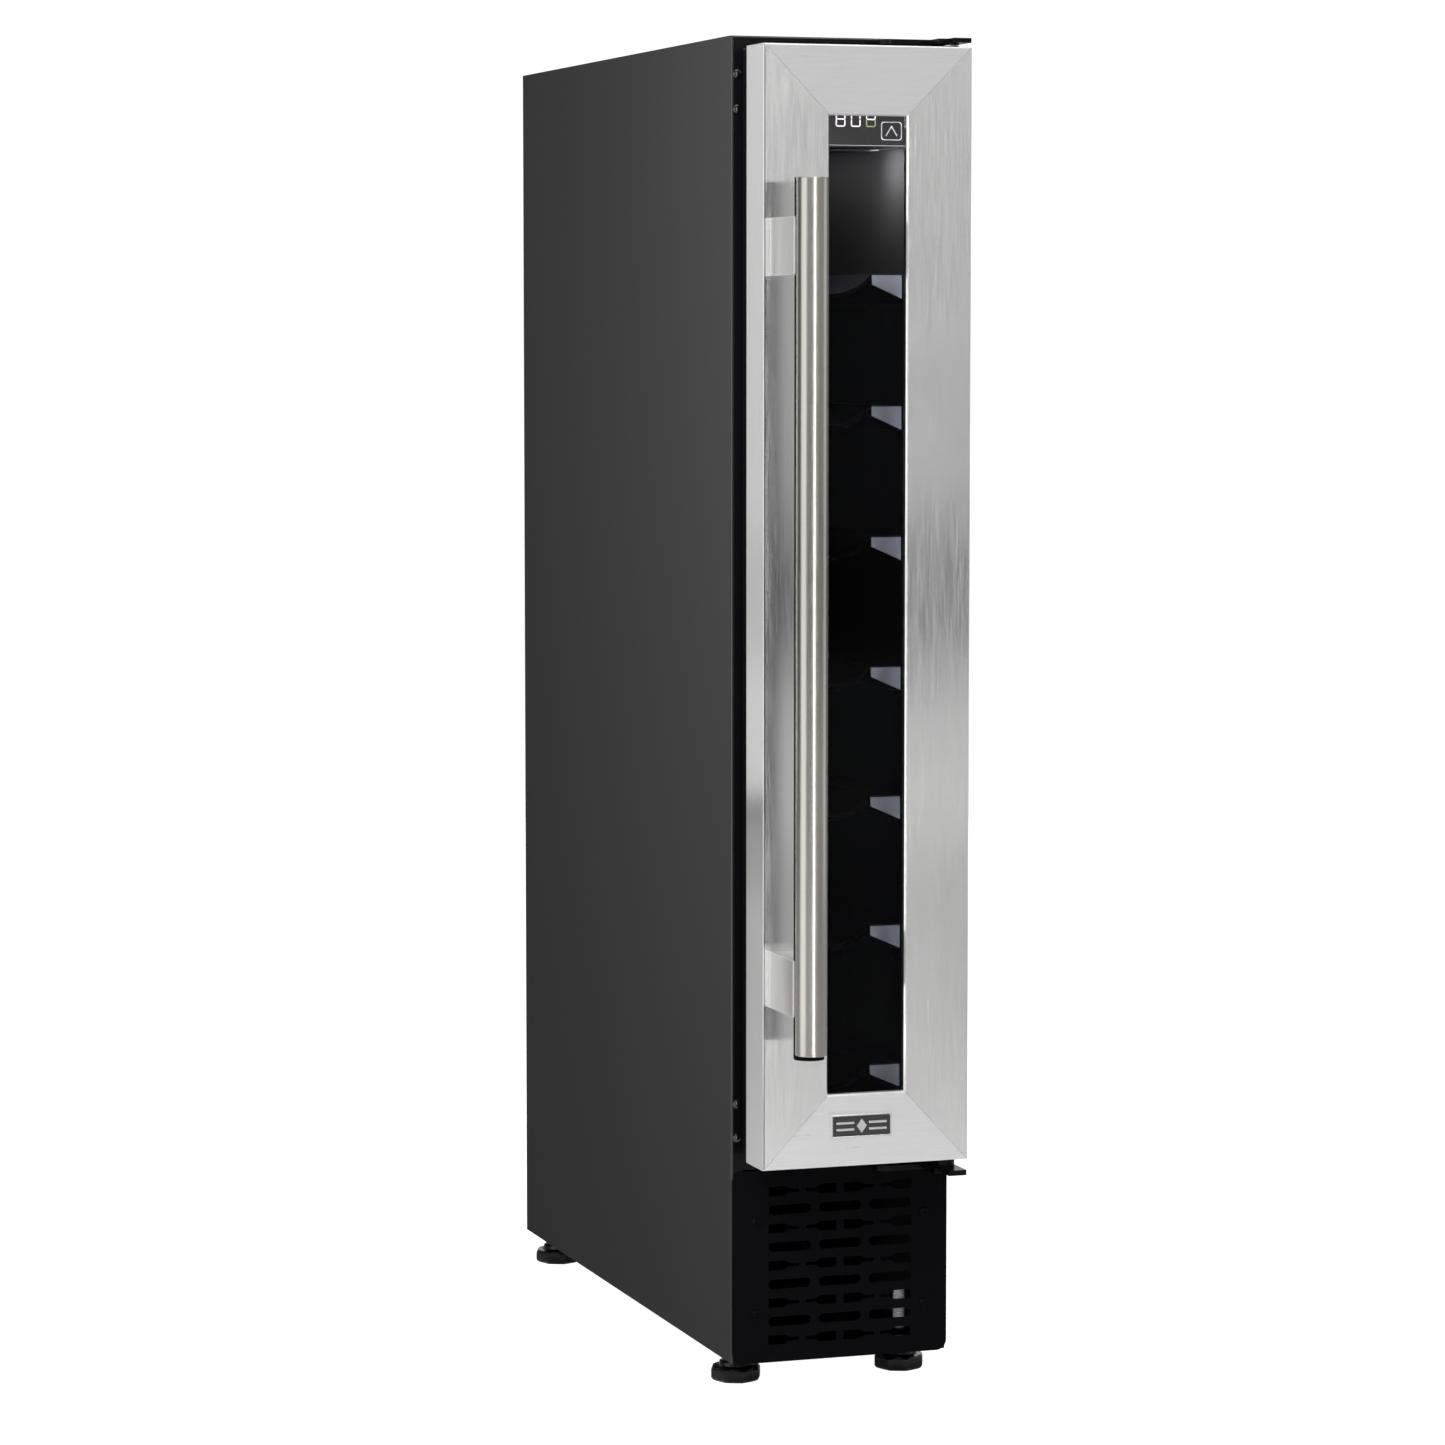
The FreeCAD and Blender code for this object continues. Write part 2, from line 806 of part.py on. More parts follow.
def compressor():
    radius, bottom, tall = "compressor_radius", "compressor_bottom", "compressor_tall"
    at_y = "compressor_back"
    can = rod("compressor_can", radius, tall, 0, at_y, bottom)
    doc.recompute()
    dome = doc.addObject("Part::Fillet", "compressor_dome")
    dome.Base = can
    dome.Edges = [(1, DOME_TOP, DOME_TOP), (3, DOME_BOTTOM, DOME_BOTTOM)]
    seam = rod("compressor_seam", f"{radius} + 2", 3, 0, at_y, f"{bottom} + {SEAM_RISE}")
    foot = block(
        "compressor_foot",
        ("-(grommet_side + grommet_radius)", "grommet_side + grommet_radius"),
        (f"{at_y} - grommet_ahead - 10", f"{at_y} + grommet_ahead + 10"),
        (f"{bottom} - foot_plate", bottom),
    )
    tie = rod("compressor_tie", 30, 4, 0, at_y, f"{bottom} - 1")
    holes = [
        rod(f"compressor_hole_{i}", "grommet_neck + 0.1", 8, x, y, f"{bottom} - 6")
        for i, (x, y) in enumerate(grommet_places())
    ]
    ports = [
        rod(f"compressor_port_{i}", 4.5, 16, x, f"{at_y} - {radius}", z, "y")
        for i, (x, z) in enumerate(PORTS)
    ]
    full = joined("compressor_full", dome, seam, foot, tie, *ports)
    keep(less("compressor_cut", full, *holes), "compressor")
    cover_y = tuple(f"{at_y} + ({y})" for y in TERMINAL_Y)
    cover = block("terminal_cover", (-TERMINAL_HALF, TERMINAL_HALF), cover_y, TERMINAL_Z)
    keep(cover, "compressor_terminal_box")


def grommets():
    """Rubber mounts between the tray and the compressor's foot plate."""
    low = "cab_bottom + sheet_steel"
    bottom = "compressor_bottom"
    solids = []
    for i, (x, y) in enumerate(grommet_places()):
        base_tall = f"{bottom} - foot_plate - ({low})"
        solids.append(rod(f"grommet_base_{i}", "grommet_radius", base_tall, x, y, low))
        solids.append(rod(f"grommet_neck_{i}", "grommet_neck", 8, x, y, f"{bottom} - 4"))
        solids.append(rod(f"grommet_head_{i}", "grommet_radius - 1", 4, x, y, bottom))
    keep(joined("grommets_whole", *solids), "compressor_grommets")


def drip_pan():
    """The tray over the compressor where meltwater dries off."""
    low = "compressor_bottom + compressor_tall + pan_gap"
    high = f"{low} + pan_tall"
    back, half = "compressor_back", "pan_long_half"
    full = block(
        "pan_full", ("-pan_half", "pan_half"), (f"{back} - {half}", f"{back} + {half}"), (low, high)
    )
    hollow = block(
        "pan_hollow",
        ("-(pan_half - pan_wall)", "pan_half - pan_wall"),
        (f"{back} - {half} + pan_wall", f"{back} + {half} - pan_wall"),
        (f"{low} + pan_wall", f"{high} + 1"),
    )
    keep(less("pan_cut", full, hollow), "drip_pan")


def grommet_places():
    for x in ("-grommet_side", "grommet_side"):
        for y in ("-", "+"):
            yield x, f"compressor_back {y} grommet_ahead"


# routes of the copper lines: X, distance behind the cabinet's front, and height
DISCHARGE = ((30, 352, 96), (30, 330, 96), (66, 322, 96), (66, 150, 106), (49.5, 119, 106))
TO_DRIER = ((-49.5, 104, 126), (-66, 112, 126), (-66, 150, 126), (-62, 195, 48), (-62, 225, 48))
SUCTION = ((-30, 352, 84), (-30, 330, 84), (-66, 322, 84), (-66, 340, 150), (-66, 340, 166))
SMALL_LINE = 2.4
SUCTION_LINE = 3.2
LINE_BEND = 7
DRIER_RADIUS = 9
DRIER_LONG = 90


def refrigerant_lines():
    """Copper lines: discharge to the condenser, its return to the drier, and suction."""
    start = TO_DRIER[-1]
    keep(rod("drier_can", DRIER_RADIUS, DRIER_LONG, *start, "y"), "filter_drier")
    front = FreeCAD.Vector(0, value("front"), 0)
    tubes = []
    for route, radius in ((DISCHARGE, SMALL_LINE), (TO_DRIER, SMALL_LINE), (SUCTION, SUCTION_LINE)):
        points = [FreeCAD.Vector(*point) + front for point in route]
        tubes.append(bent_tube(points, radius, LINE_BEND))
    lines = doc.addObject("Part::Feature", "lines_whole")
    lines.Shape = Part.Compound(tubes)
    keep(lines, "refrigerant_lines")


REAR_VENT_ROWS = 8


def rear_bottom():
    """The vented cover over the machine bay's back, and the mains lead's gland."""
    y = ("cab_depth - skin", "cab_depth")
    z = ("cab_bottom + sheet_steel", "bay_top")
    cover = block("rear_cover_sheet", ("-(cab_half - skin)", "cab_half - skin"), y, z)
    through = ("cab_depth - skin - 1", "cab_depth + 1")
    cuts = []
    for row in range(REAR_VENT_ROWS):
        low = f"rear_vent_low + {row} * rear_vent_pitch"
        for side in (-1, 1):
            x = mirrored(side, "rear_vent_inner", "rear_vent_outer")
            vent_z = (low, f"{low} + rear_vent_tall")
            cuts.append(block(f"rear_vent_{row}_{side + 1}", x, through, vent_z))
    at = ("gland_side", "gland_height")
    start = "cab_depth - gland_long"
    cuts.append(rod("gland_hole", "gland_radius", 10, at[0], "cab_depth - 6", at[1], "y"))
    keep(less("rear_cover_cut", cover, *cuts), "rear_vent_cover")
    collar = rod("gland_collar", "gland_radius", "gland_long", at[0], start, at[1], "y")
    nut = rod("gland_nut", "gland_nut", 4, at[0], "cab_depth - skin - 4", at[1], "y")
    bore = rod("gland_bore", "gland_bore", 20, at[0], f"{start} - 3", at[1], "y")
    keep(less("gland_cut", joined("gland_full", collar, nut), bore), "cord_gland")


# ---- plinth grille ----------------------------------------------------------------------

OBLONG_STARTS = (-49, -14.5, 20)
OBLONG_LONG = 29
BOTTLE_STARTS = (-49, -23.5, 2.5, 28)
BOTTLE_LONG = 21
BOTTLE_SHOULDER = 11
BOTTLE_THROAT = 14.5
NECK_HALF = 1.1
BOTTLE_ROWS = 5
OBLONG_ROWS = 4


def add_chain(sketch, edges):
    """A closed chain of lines and arcs, each end tied to the next edge's start."""
    first = sketch.GeometryCount
    for edge in edges:
        sketch.addGeometry(edge, False)
    ends = []
    for index, edge in enumerate(edges):
        flipped = isinstance(edge, Part.ArcOfCircle) and edge.Circle.Axis.z < 0
        ends.append((first + index, (2, 1) if flipped else (1, 2)))
    for (here, marks), (there, next_marks) in zip(ends, ends[1:] + ends[:1]):
        rule = Sketcher.Constraint("Coincident", here, marks[1], there, next_marks[0])
        sketch.addConstraint(rule)


def oblong_edges(start, middle, radius):
    left, right = start + radius, start + OBLONG_LONG - radius

    def at(x, z):
        return FreeCAD.Vector(x, middle + z, 0)

    return [
        Part.LineSegment(at(left, -radius), at(right, -radius)),
        Part.Arc(at(right, -radius), at(right + radius, 0), at(right, radius)),
        Part.LineSegment(at(right, radius), at(left, radius)),
        Part.Arc(at(left, radius), at(left - radius, 0), at(left, -radius)),
    ]


def bottle_edges(start, middle, radius, way):
    """A lying bottle: body, shoulders and neck; way is -1 with the neck to the left."""
    base = start if way > 0 else start + BOTTLE_LONG

    def at(along, z):
        return FreeCAD.Vector(base + way * along, middle + way * z, 0)

    under = [
        at(0, -radius),
        at(BOTTLE_SHOULDER, -radius),
        at(BOTTLE_THROAT, -NECK_HALF),
        at(BOTTLE_LONG, -NECK_HALF),
    ]
    over = [
        at(BOTTLE_LONG, NECK_HALF),
        at(BOTTLE_THROAT, NECK_HALF),
        at(BOTTLE_SHOULDER, radius),
        at(0, radius),
    ]
    corners = under + over
    return [Part.LineSegment(a, b) for a, b in zip(corners, corners[1:] + corners[:1])]


def vent_pocket(body, name, edges, rows):
    sketch = body.newObject("Sketcher::SketchObject", name + "_sketch")
    sketch.AttachmentSupport = (origin_plane(body, "XZ_Plane"), [""])
    sketch.MapMode = "FlatFace"
    bind(sketch, AttachmentOffset__Base__z="-(front - grille_sheet)")
    for chain in edges:
        add_chain(sketch, chain)
    pocket = body.newObject("PartDesign::Pocket", name)
    pocket.Profile = sketch
    bind(pocket, Length="grille_sheet * 2")
    pattern = body.newObject("PartDesign::LinearPattern", name + "_rows")
    pattern.Originals = [pocket]
    pattern.Direction = (sketch, ["V_Axis"])
    pattern.Reversed = True
    bind(pattern, Length=f"{2 * (rows - 1)} * vent_pitch")
    pattern.Occurrences = rows
    body.Tip = pattern


def plinth_grille():
    """The black plinth plate: rows of lying bottles between rows of oblong slots."""
    corners = [
        ("-cab_half", "grille_bottom"),
        ("cab_half", "grille_bottom"),
        ("cab_half", "grille_top"),
        ("-cab_half", "grille_top"),
    ]
    body = front_plate("plinth_plate", corners, ("-grille_sheet", 0))
    doc.recompute()
    pad = body.Tip
    round_corners = body.newObject("PartDesign::Fillet", "plinth_corners")
    upright = [
        f"Edge{i}"
        for i, edge in enumerate(pad.Shape.Edges, start=1)
        if abs(edge.Length - value("grille_sheet")) < 0.01
    ]
    round_corners.Base = (pad, upright)
    bind(round_corners, Radius="grille_corner")
    doc.recompute()
    radius, first, pitch = value("vent_radius"), value("vent_first"), value("vent_pitch")
    bottles = [
        bottle_edges(start, first, radius, 1 if i % 2 == 0 else -1)
        for i, start in enumerate(BOTTLE_STARTS)
    ]
    oblongs = [oblong_edges(start, first - pitch, radius) for start in OBLONG_STARTS]
    solid_volume = body.Shape.Volume
    vent_pocket(body, "bottle_vents", bottles, BOTTLE_ROWS)
    doc.recompute()
    vent_pocket(body, "oblong_vents", oblongs, OBLONG_ROWS)
    doc.recompute()
    if not 0.6 * solid_volume < body.Shape.Volume < 0.85 * solid_volume:
        raise ValueError("the plinth grille's vents did not cut")
    keep(body, "plinth_grille")


HINGE_SCREW_HEIGHTS = (167, 189, 824, 846)
PLUG_HEAD = 1.4


def screws():
    """Screws in the plinth and in the hinge legs, and plugs in the unused hinge holes."""
    heads = []
    ahead = "-grille_sheet - screw_head"
    for x in ("-screw_side", "screw_side"):
        for z in ("screw_low", "screw_high"):
            name = f"plinth_screw_{len(heads)}"
            heads.append(rod(name, "screw_radius", "screw_head", x, ahead, z, "y"))
    plugs = []
    radius = "hinge_head_radius"
    for i, z in enumerate(HINGE_SCREW_HEIGHTS):
        plug_x = "-hinge_hole_side"
        plugs.append(rod(f"plug_{i}", radius, PLUG_HEAD, plug_x, -PLUG_HEAD, z, "y"))
        head_y = "-hinge_sheet - screw_head"
        name = f"hinge_head_{i}"
        heads.append(rod(name, radius, "screw_head", "hinge_head_side", head_y, z, "y"))
    keep(joined("plug_group", *plugs), "hinge_hole_plugs")
    keep(joined("screw_group", *heads), "cabinet_screws")


# ---- hinges -----------------------------------------------------------------------------


def hinge_bracket(label, plate_low, plate_high, leg_low, leg_high, boss_low, boss_high):
    """A bent steel hinge: a plate ahead of the cabinet, its arm, and an upright leg."""
    z = (plate_low, plate_high)
    tall = f"({plate_high}) - ({plate_low})"
    ahead, side = "-pivot_ahead", "pivot_side"
    reach = f"{ahead} - tip_reach"
    half = "(plate_back - plate_front) / 2"
    plate = block(label + "_plate", ("plate_inner", "plate_outer"), ("plate_front", "plate_back"), z)
    end = rod(label + "_end", half, tall, "plate_inner", f"plate_front + {half}", plate_low)
    arm = block(label + "_arm", ("arm_inner", "arm_outer"), (reach, "plate_front"), z)
    tip_y = (f"{reach} - tip_reach", reach)
    tip = block(label + "_tip", ("tip_inner", "arm_outer"), tip_y, z)
    leg_x = ("leg_inner", "leg_outer")
    knuckle = block(label + "_knuckle", leg_x, ("-hinge_sheet * 2", "plate_back"), z)
    leg = block(label + "_leg", leg_x, ("-hinge_sheet", 0), (leg_low, leg_high))
    boss_tall = f"({boss_high}) - ({boss_low})"
    boss = rod(label + "_boss", "boss_radius", boss_tall, side, ahead, boss_low)
    hole_low = f"({plate_low}) - 15"
    pin_hole = rod(label + "_hole", "pin_radius", 40, side, ahead, hole_low)
    full = joined(label + "_full", plate, end, arm, tip, knuckle, leg, boss)
    return less(label + "_cut", full, pin_hole)


def hinges():
    """Brackets, pins and bushes; the door turns on both pins."""
    low, high = "hinge_low_plate", "hinge_high_plate"
    bottom = hinge_bracket(
        "lower_hinge",
        *(low, f"{low} + 3.5"),
        *(f"{low} + 2.5", "hinge_low_leg"),
        *(f"{low} + 3.5", f"{low} + 9"),
    )
    keep(bottom, "hinge_bracket_bottom")
    top = hinge_bracket(
        "upper_hinge",
        *(high, f"{high} + 3"),
        *("hinge_high_leg", f"{high} + 0.5"),
        *(f"{high} - 0.5", f"{high} + 0.7"),
    )
    keep(top, "hinge_bracket_top")

    side, ahead = "pivot_side", "-pivot_ahead"
    low_pin = rod("lower_pin", "pin_radius", 21, side, ahead, low)
    high_pin = rod("upper_pin", "pin_radius", 15.5, side, ahead, f"{high} - 12.5")
    keep(joined("pin_group", low_pin, high_pin), "hinge_pins")

    sleeve, rim = "bush_radius", "bush_radius + bush_rim"
    parts = (
        (sleeve, "door_bottom", "door_bottom + bush_long"),
        (rim, "door_bottom - 1.6", "door_bottom"),
        (sleeve, "door_top - bush_long", "door_top"),
        (rim, "door_top", "door_top + 1.7"),
    )
    bushes = []
    for i, (radius, start, end) in enumerate(parts):
        bushes.append(rod(f"bush_{i}", radius, f"({end}) - ({start})", side, ahead, start))
    bore = rod("bush_bore", "pin_radius + pin_play", "door_top", side, ahead, "door_bottom - 5")
    keep(less("bush_cut", joined("bush_full", *bushes), bore), "hinge_bushes")


# ---- door -------------------------------------------------------------------------------


def bush_seat(name, low):
    """The hole in the door for a bush, from its lower end."""
    return rod(name, "bush_radius", "2 * bush_long", "pivot_side", "-pivot_ahead", low)


def low_seat(name):
    return bush_seat(name, "door_bottom - bush_long")


def high_seat(name):
    return bush_seat(name, "door_top - bush_long")


def door_frame():
    """Four folded steel members with mitred ends, from the outer edge to the window."""
    outer = {"x": "door_half", "low": "door_bottom", "high": "door_top"}
    inner = {"x": "window_half", "low": "window_bottom", "high": "window_top"}
    wall = "door_steel"
    fold = "-(door_face - glass_set)"
    for side, label in ((-1, "door_frame_left"), (1, "door_frame_right")):
        corners = [
            (f"{side} * {outer['x']}", outer["low"]),
            (f"{side} * {outer['x']}", outer["high"]),
            (f"{side} * {inner['x']}", inner["high"]),
            (f"{side} * {inner['x']}", inner["low"]),
        ]
        full = front_plate(label + "_full", corners, ("-door_face", "-door_back"))
        far = f"{side} * (door_half - {wall})"
        near = f"{side} * window_half"
        lip = f"{side} * (window_half + {wall})"
        z = ("door_bottom - 1", "door_top + 1")
        behind_x = (far, near) if side < 0 else (near, far)
        inside_x = (far, lip) if side < 0 else (lip, far)
        behind = block(label + "_behind", behind_x, (fold, 0), z)
        inside = block(label + "_inside", inside_x, (f"-door_face + {wall}", fold), z)
        keep(less(label + "_cut", full, behind, inside), label)
    rails = (
        ("door_frame_top", outer["high"], inner["high"], -1, high_seat("top_rail_seat")),
        ("door_frame_bottom", outer["low"], inner["low"], 1, low_seat("bottom_rail_seat")),
    )
    x = ("-door_half", "door_half")
    for label, edge, sight, way, bore in rails:
        corners = [
            ("-door_half", edge),
            ("door_half", edge),
            ("window_half", sight),
            ("-window_half", sight),
        ]
        full = front_plate(label + "_full", corners, ("-door_face", "-door_back"))
        far = f"{edge} + {way} * {wall}"
        lip = f"{sight} - {way} * {wall}"
        behind_z = (sight, far) if way < 0 else (far, sight)
        inside_z = (lip, far) if way < 0 else (far, lip)
        behind = block(label + "_behind", x, (fold, 0), behind_z)
        inside = block(label + "_inside", x, (f"-door_face + {wall}", fold), inside_z)
        keep(less(label + "_cut", full, behind, inside, bore), label)


def door_core():
    """The foam and packing that fills the steel frame around the glass unit."""
    wall = "door_steel"
    ring = block(
        "core_full",
        (f"-(door_half - {wall})", f"door_half - {wall}"),
        (f"-(door_face - {wall})", "-door_back"),
        (f"door_bottom + {wall}", f"door_top - {wall}"),
    )
    sight = block(
        "core_sight",
        (f"-(window_half + {wall})", f"window_half + {wall}"),
        ("-door_face", "-door_back + 1"),
        (f"window_bottom - {wall}", f"window_top + {wall}"),
    )
    lap = "glass_lap + pane_play"
    pocket = block(
        "core_pocket",
        (f"-(window_half + {lap})", f"window_half + {lap}"),
        ("-(door_face - glass_set)", "-door_back + 1"),
        (f"window_bottom - ({lap})", f"window_top + {lap}"),
    )
    seats = (low_seat("core_seat_low"), high_seat("core_seat_high"))
    keep(less("core_cut", ring, sight, pocket, *seats), "door_core")


def door_inside():
    """The double glazing, the plastic liner on the door's back and the seal in it."""
    fold = "-(door_face - glass_set)"
    half = "window_half + glass_lap"
    low, high = "window_bottom - glass_lap", "window_top + glass_lap"
    back = f"{fold} + 2 * glass_sheet + pane_gap"
    panes = (("door_glass_outer", fold), ("door_glass_inner", f"{back} - glass_sheet"))
    for label, start in panes:
        pane_y = (start, f"{start} + glass_sheet")
        keep(block(label + "_pane", (f"-({half})", half), pane_y, (low, high)), label)
    gap_y = (f"{fold} + glass_sheet", f"{back} - glass_sheet")
    lap = "(glass_lap - spacer_wide)"
    inner = (f"window_half + {lap}", f"window_bottom - {lap}", f"window_top + {lap}")
    keep(frame_ring("spacer_ring", half, low, high, *inner, gap_y), "glass_spacer")

    reveal = "stop_reveal"
    sight = (f"window_half + {reveal}", f"window_bottom - {reveal}", f"window_top + {reveal}")
    stop = frame_ring("stop_ring", half, low, high, *sight, (back, "-door_back"))
    panel_y = ("-door_back", "-door_back + panel_sheet")
    outer = ("panel_half", "panel_bottom", "panel_top")
    panel = frame_ring("liner_panel", *outer, *sight, panel_y)
    keep(joined("door_liner_whole", stop, panel), "door_liner")

    seal_hole = ("seal_half - seal_wide", "seal_bottom + seal_wide", "seal_top - seal_wide")
    seal_y = ("-door_back + panel_sheet", "-seal_gap")
    seal = frame_ring("seal_ring", "seal_half", "seal_bottom", "seal_top", *seal_hole, seal_y)
    keep(seal, "door_gasket")

    badge_y = ("-door_face - badge_thick", "-door_face")
    badge_z = ("badge_bottom", "badge_top")
    keep(block("badge_block", ("badge_left", "badge_right"), badge_y, badge_z), "badge_plate")


def handle():
    """A round steel bar on two square posts, with a black moulding behind the bar."""
    side, ahead, radius = "bar_side", "-bar_ahead", "bar_radius"
    long = "bar_top - bar_bottom"
    tube = rod("bar_tube", radius, long, side, ahead, "bar_bottom")
    hollow = rod("bar_hollow", f"{radius} - bar_wall", f"{long} + 2", side, ahead, "bar_bottom - 1")
    keep(less("bar_cut", tube, hollow), "handle_bar")
    plugs = [
        rod(f"bar_plug_{i}", f"{radius} - bar_wall", "plug_long", side, ahead, z)
        for i, z in enumerate(("bar_bottom", "bar_top - plug_long"))
    ]
    keep(joined("plug_pair", *plugs), "handle_end_plugs")

    posts = []
    post_cuts = []
    for i, low in enumerate(("bracket_low", "bracket_high")):
        x = (f"{side} - bracket_half", f"{side} + bracket_half")
        y = ("-bar_ahead + 4", "-door_face")
        z = (low, f"{low} + bracket_tall")
        posts.append(block(f"post_{i}", x, y, z))
        post_cuts.append(block(f"post_gap_{i}", x, y, z))
    seat = rod("post_seat", radius, long, side, ahead, "bar_bottom")
    keep(less("posts_cut", joined("posts_full", *posts), seat), "handle_posts")

    back_y = "-bar_ahead + backing_back"
    back_long = f"{long} + backing_below"
    start = "bar_bottom - backing_below"
    backing = rod("backing_full", "backing_radius", back_long, side, back_y, start)
    clear = rod("backing_clear", radius, f"{long} + 10", side, ahead, "bar_bottom")
    keep(less("backing_cut", backing, clear, *post_cuts), "handle_backing")


def build():
    cabinet_shell()
    feet()
    inner_liner()
    foam()
    shelves()
    control_unit()
    cold_wall()
    condenser()
    compressor()
    grommets()
    drip_pan()
    refrigerant_lines()
    rear_bottom()
    plinth_grille()
    screws()
    hinges()
    door_frame()
    door_core()
    door_inside()
    handle()
    doc.recompute()


def write():
    bad = [o.Name for o in doc.Objects if {"Invalid", "Error"} & set(o.State)]
    if bad:
        raise ValueError(f"failed objects: {bad}")
    for label, item in nodes.items():
        if item.Shape.isNull() or not item.Shape.isValid():
            raise ValueError(f"bad shape: {label}")
    os.makedirs("parts", exist_ok=True)
    for label, item in nodes.items():
        item.Shape.exportStep(f"parts/{label}.step")
    print(len(nodes), "nodes written")


build()
write()
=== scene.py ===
import json
import math

import bmesh
import bpy
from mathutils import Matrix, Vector

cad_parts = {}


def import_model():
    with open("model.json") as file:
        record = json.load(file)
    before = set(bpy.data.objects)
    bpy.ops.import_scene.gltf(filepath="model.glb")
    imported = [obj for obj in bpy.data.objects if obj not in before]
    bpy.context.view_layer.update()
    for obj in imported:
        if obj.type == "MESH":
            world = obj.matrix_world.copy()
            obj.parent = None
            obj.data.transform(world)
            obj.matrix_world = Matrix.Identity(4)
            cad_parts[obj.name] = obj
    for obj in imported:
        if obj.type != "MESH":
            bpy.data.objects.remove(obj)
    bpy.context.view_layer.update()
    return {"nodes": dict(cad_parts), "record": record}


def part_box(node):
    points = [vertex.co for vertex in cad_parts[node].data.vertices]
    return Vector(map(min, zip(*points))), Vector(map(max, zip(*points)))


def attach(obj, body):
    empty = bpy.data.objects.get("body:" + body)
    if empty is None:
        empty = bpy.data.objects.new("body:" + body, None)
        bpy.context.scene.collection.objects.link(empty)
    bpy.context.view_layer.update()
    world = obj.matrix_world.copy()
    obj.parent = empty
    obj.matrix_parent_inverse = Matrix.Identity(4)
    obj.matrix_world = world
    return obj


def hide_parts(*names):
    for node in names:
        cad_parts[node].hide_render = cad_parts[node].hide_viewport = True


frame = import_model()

MM = 0.001
nodes = frame["nodes"]

# ---- places read from the frame ----------------------------------------------------------

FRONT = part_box("left_side_panel")[0].y
CAB_LOW, CAB_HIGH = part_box("left_side_panel")
CAB_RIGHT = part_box("right_side_panel")[1].x
DOOR_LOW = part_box("door_frame_left")[0]
DOOR_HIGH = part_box("door_frame_right")[1]
WINDOW_HALF = -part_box("door_frame_left")[1].x
WINDOW_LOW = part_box("door_frame_bottom")[1].z
WINDOW_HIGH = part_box("door_frame_top")[0].z
BAR_LOW, BAR_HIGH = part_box("handle_bar")
BAR_X = (BAR_LOW.x + BAR_HIGH.x) / 2
BAR_Y = (BAR_LOW.y + BAR_HIGH.y) / 2
BAR_RADIUS = (BAR_HIGH.x - BAR_LOW.x) / 2
POST_LOW, POST_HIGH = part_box("handle_posts")
FACE_LOW, FACE_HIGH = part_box("control_face")
GLASS_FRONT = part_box("door_glass_outer")[0].y
LAMP_LOW, LAMP_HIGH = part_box("led_lamp")
FEET = [name for name in nodes if name.startswith("foot_")]
SHELVES = [f"shelf_{number}" for number in range(1, 7)] + ["floor_cradle"]

# ---- node helpers ------------------------------------------------------------------------


def link(tree, source, target):
    tree.links.new(source, target)


def add_node(tree, kind, **values):
    """A new shader node with some of its inputs set, a space in their names written _."""
    node = tree.nodes.new("ShaderNode" + kind)
    for socket, value in values.items():
        node.inputs[socket.replace("_", " ")].default_value = value
    return node


def scaled(tree, source, gain, plus=None, more=0.0):
    """A source times gain, plus another node's output or a number."""
    node = add_node(tree, "Math")
    node.operation = "MULTIPLY_ADD"
    link(tree, source, node.inputs[0])
    node.inputs[1].default_value = gain
    node.inputs[2].default_value = more
    if plus is not None:
        link(tree, plus, node.inputs[2])
    return node.outputs[0]


# ---- camera, light and floor -------------------------------------------------------------

CAMERA_PLACE = (-1.00814, FRONT - 2.7729, 0.67953)
CAMERA_DOWN, CAMERA_RIGHT = 4.7694, 18.51  # degrees from level and from straight ahead
LENS = 114.66

# (height, grey) of the room's light: 0.5 is level, 0 and 1 are 30 degrees down and up
HORIZON = (
    (0.30, 0.52), (0.426, 0.58), (0.435, 0.0), (0.453, 0.0), (0.462, 0.46), (0.50, 0.42),
    (0.56, 0.46), (0.60, 0.78), (0.80, 0.78),
)
NADIR, ZENITH = 0.5, 0.4
FLOOR_GREY, FLOOR_GLOW = 0.38, 0.18
WARM_WHITE = (1, 0.99, 0.97)


def camera():
    """The photo's viewpoint: front left, a little above the middle, through a long lens."""
    data = bpy.data.cameras.new("camera")
    data.lens = LENS
    data.clip_end = 60
    item = bpy.data.objects.new("camera", data)
    item.location = CAMERA_PLACE
    item.rotation_euler = (math.radians(90 - CAMERA_DOWN), 0, math.radians(-CAMERA_RIGHT))
    bpy.context.scene.collection.objects.link(item)
    bpy.context.scene.camera = item


def softbox(name, place, target, size, radiance, colour=(1, 1, 1)):
    """A rectangular lamp that the camera doesn't see, equally bright at any size."""
    data = bpy.data.lights.new(name, "AREA")
    data.shape = "RECTANGLE"
    data.size, data.size_y = size
    data.energy = radiance * math.pi * size[0] * size[1]
    data.color = colour
    item = bpy.data.objects.new(name, data)
    item.location = place
    item.rotation_euler = (Vector(target) - Vector(place)).to_track_quat("-Z", "Y").to_euler()
    item.visible_camera = False
    bpy.context.scene.collection.objects.link(item)
    return item


def around(azimuth, distance, height):
    """A place by its angle from straight ahead, towards the object's -X side."""
    angle = math.radians(azimuth)
    return (-distance * math.sin(angle), -distance * math.cos(angle), height)


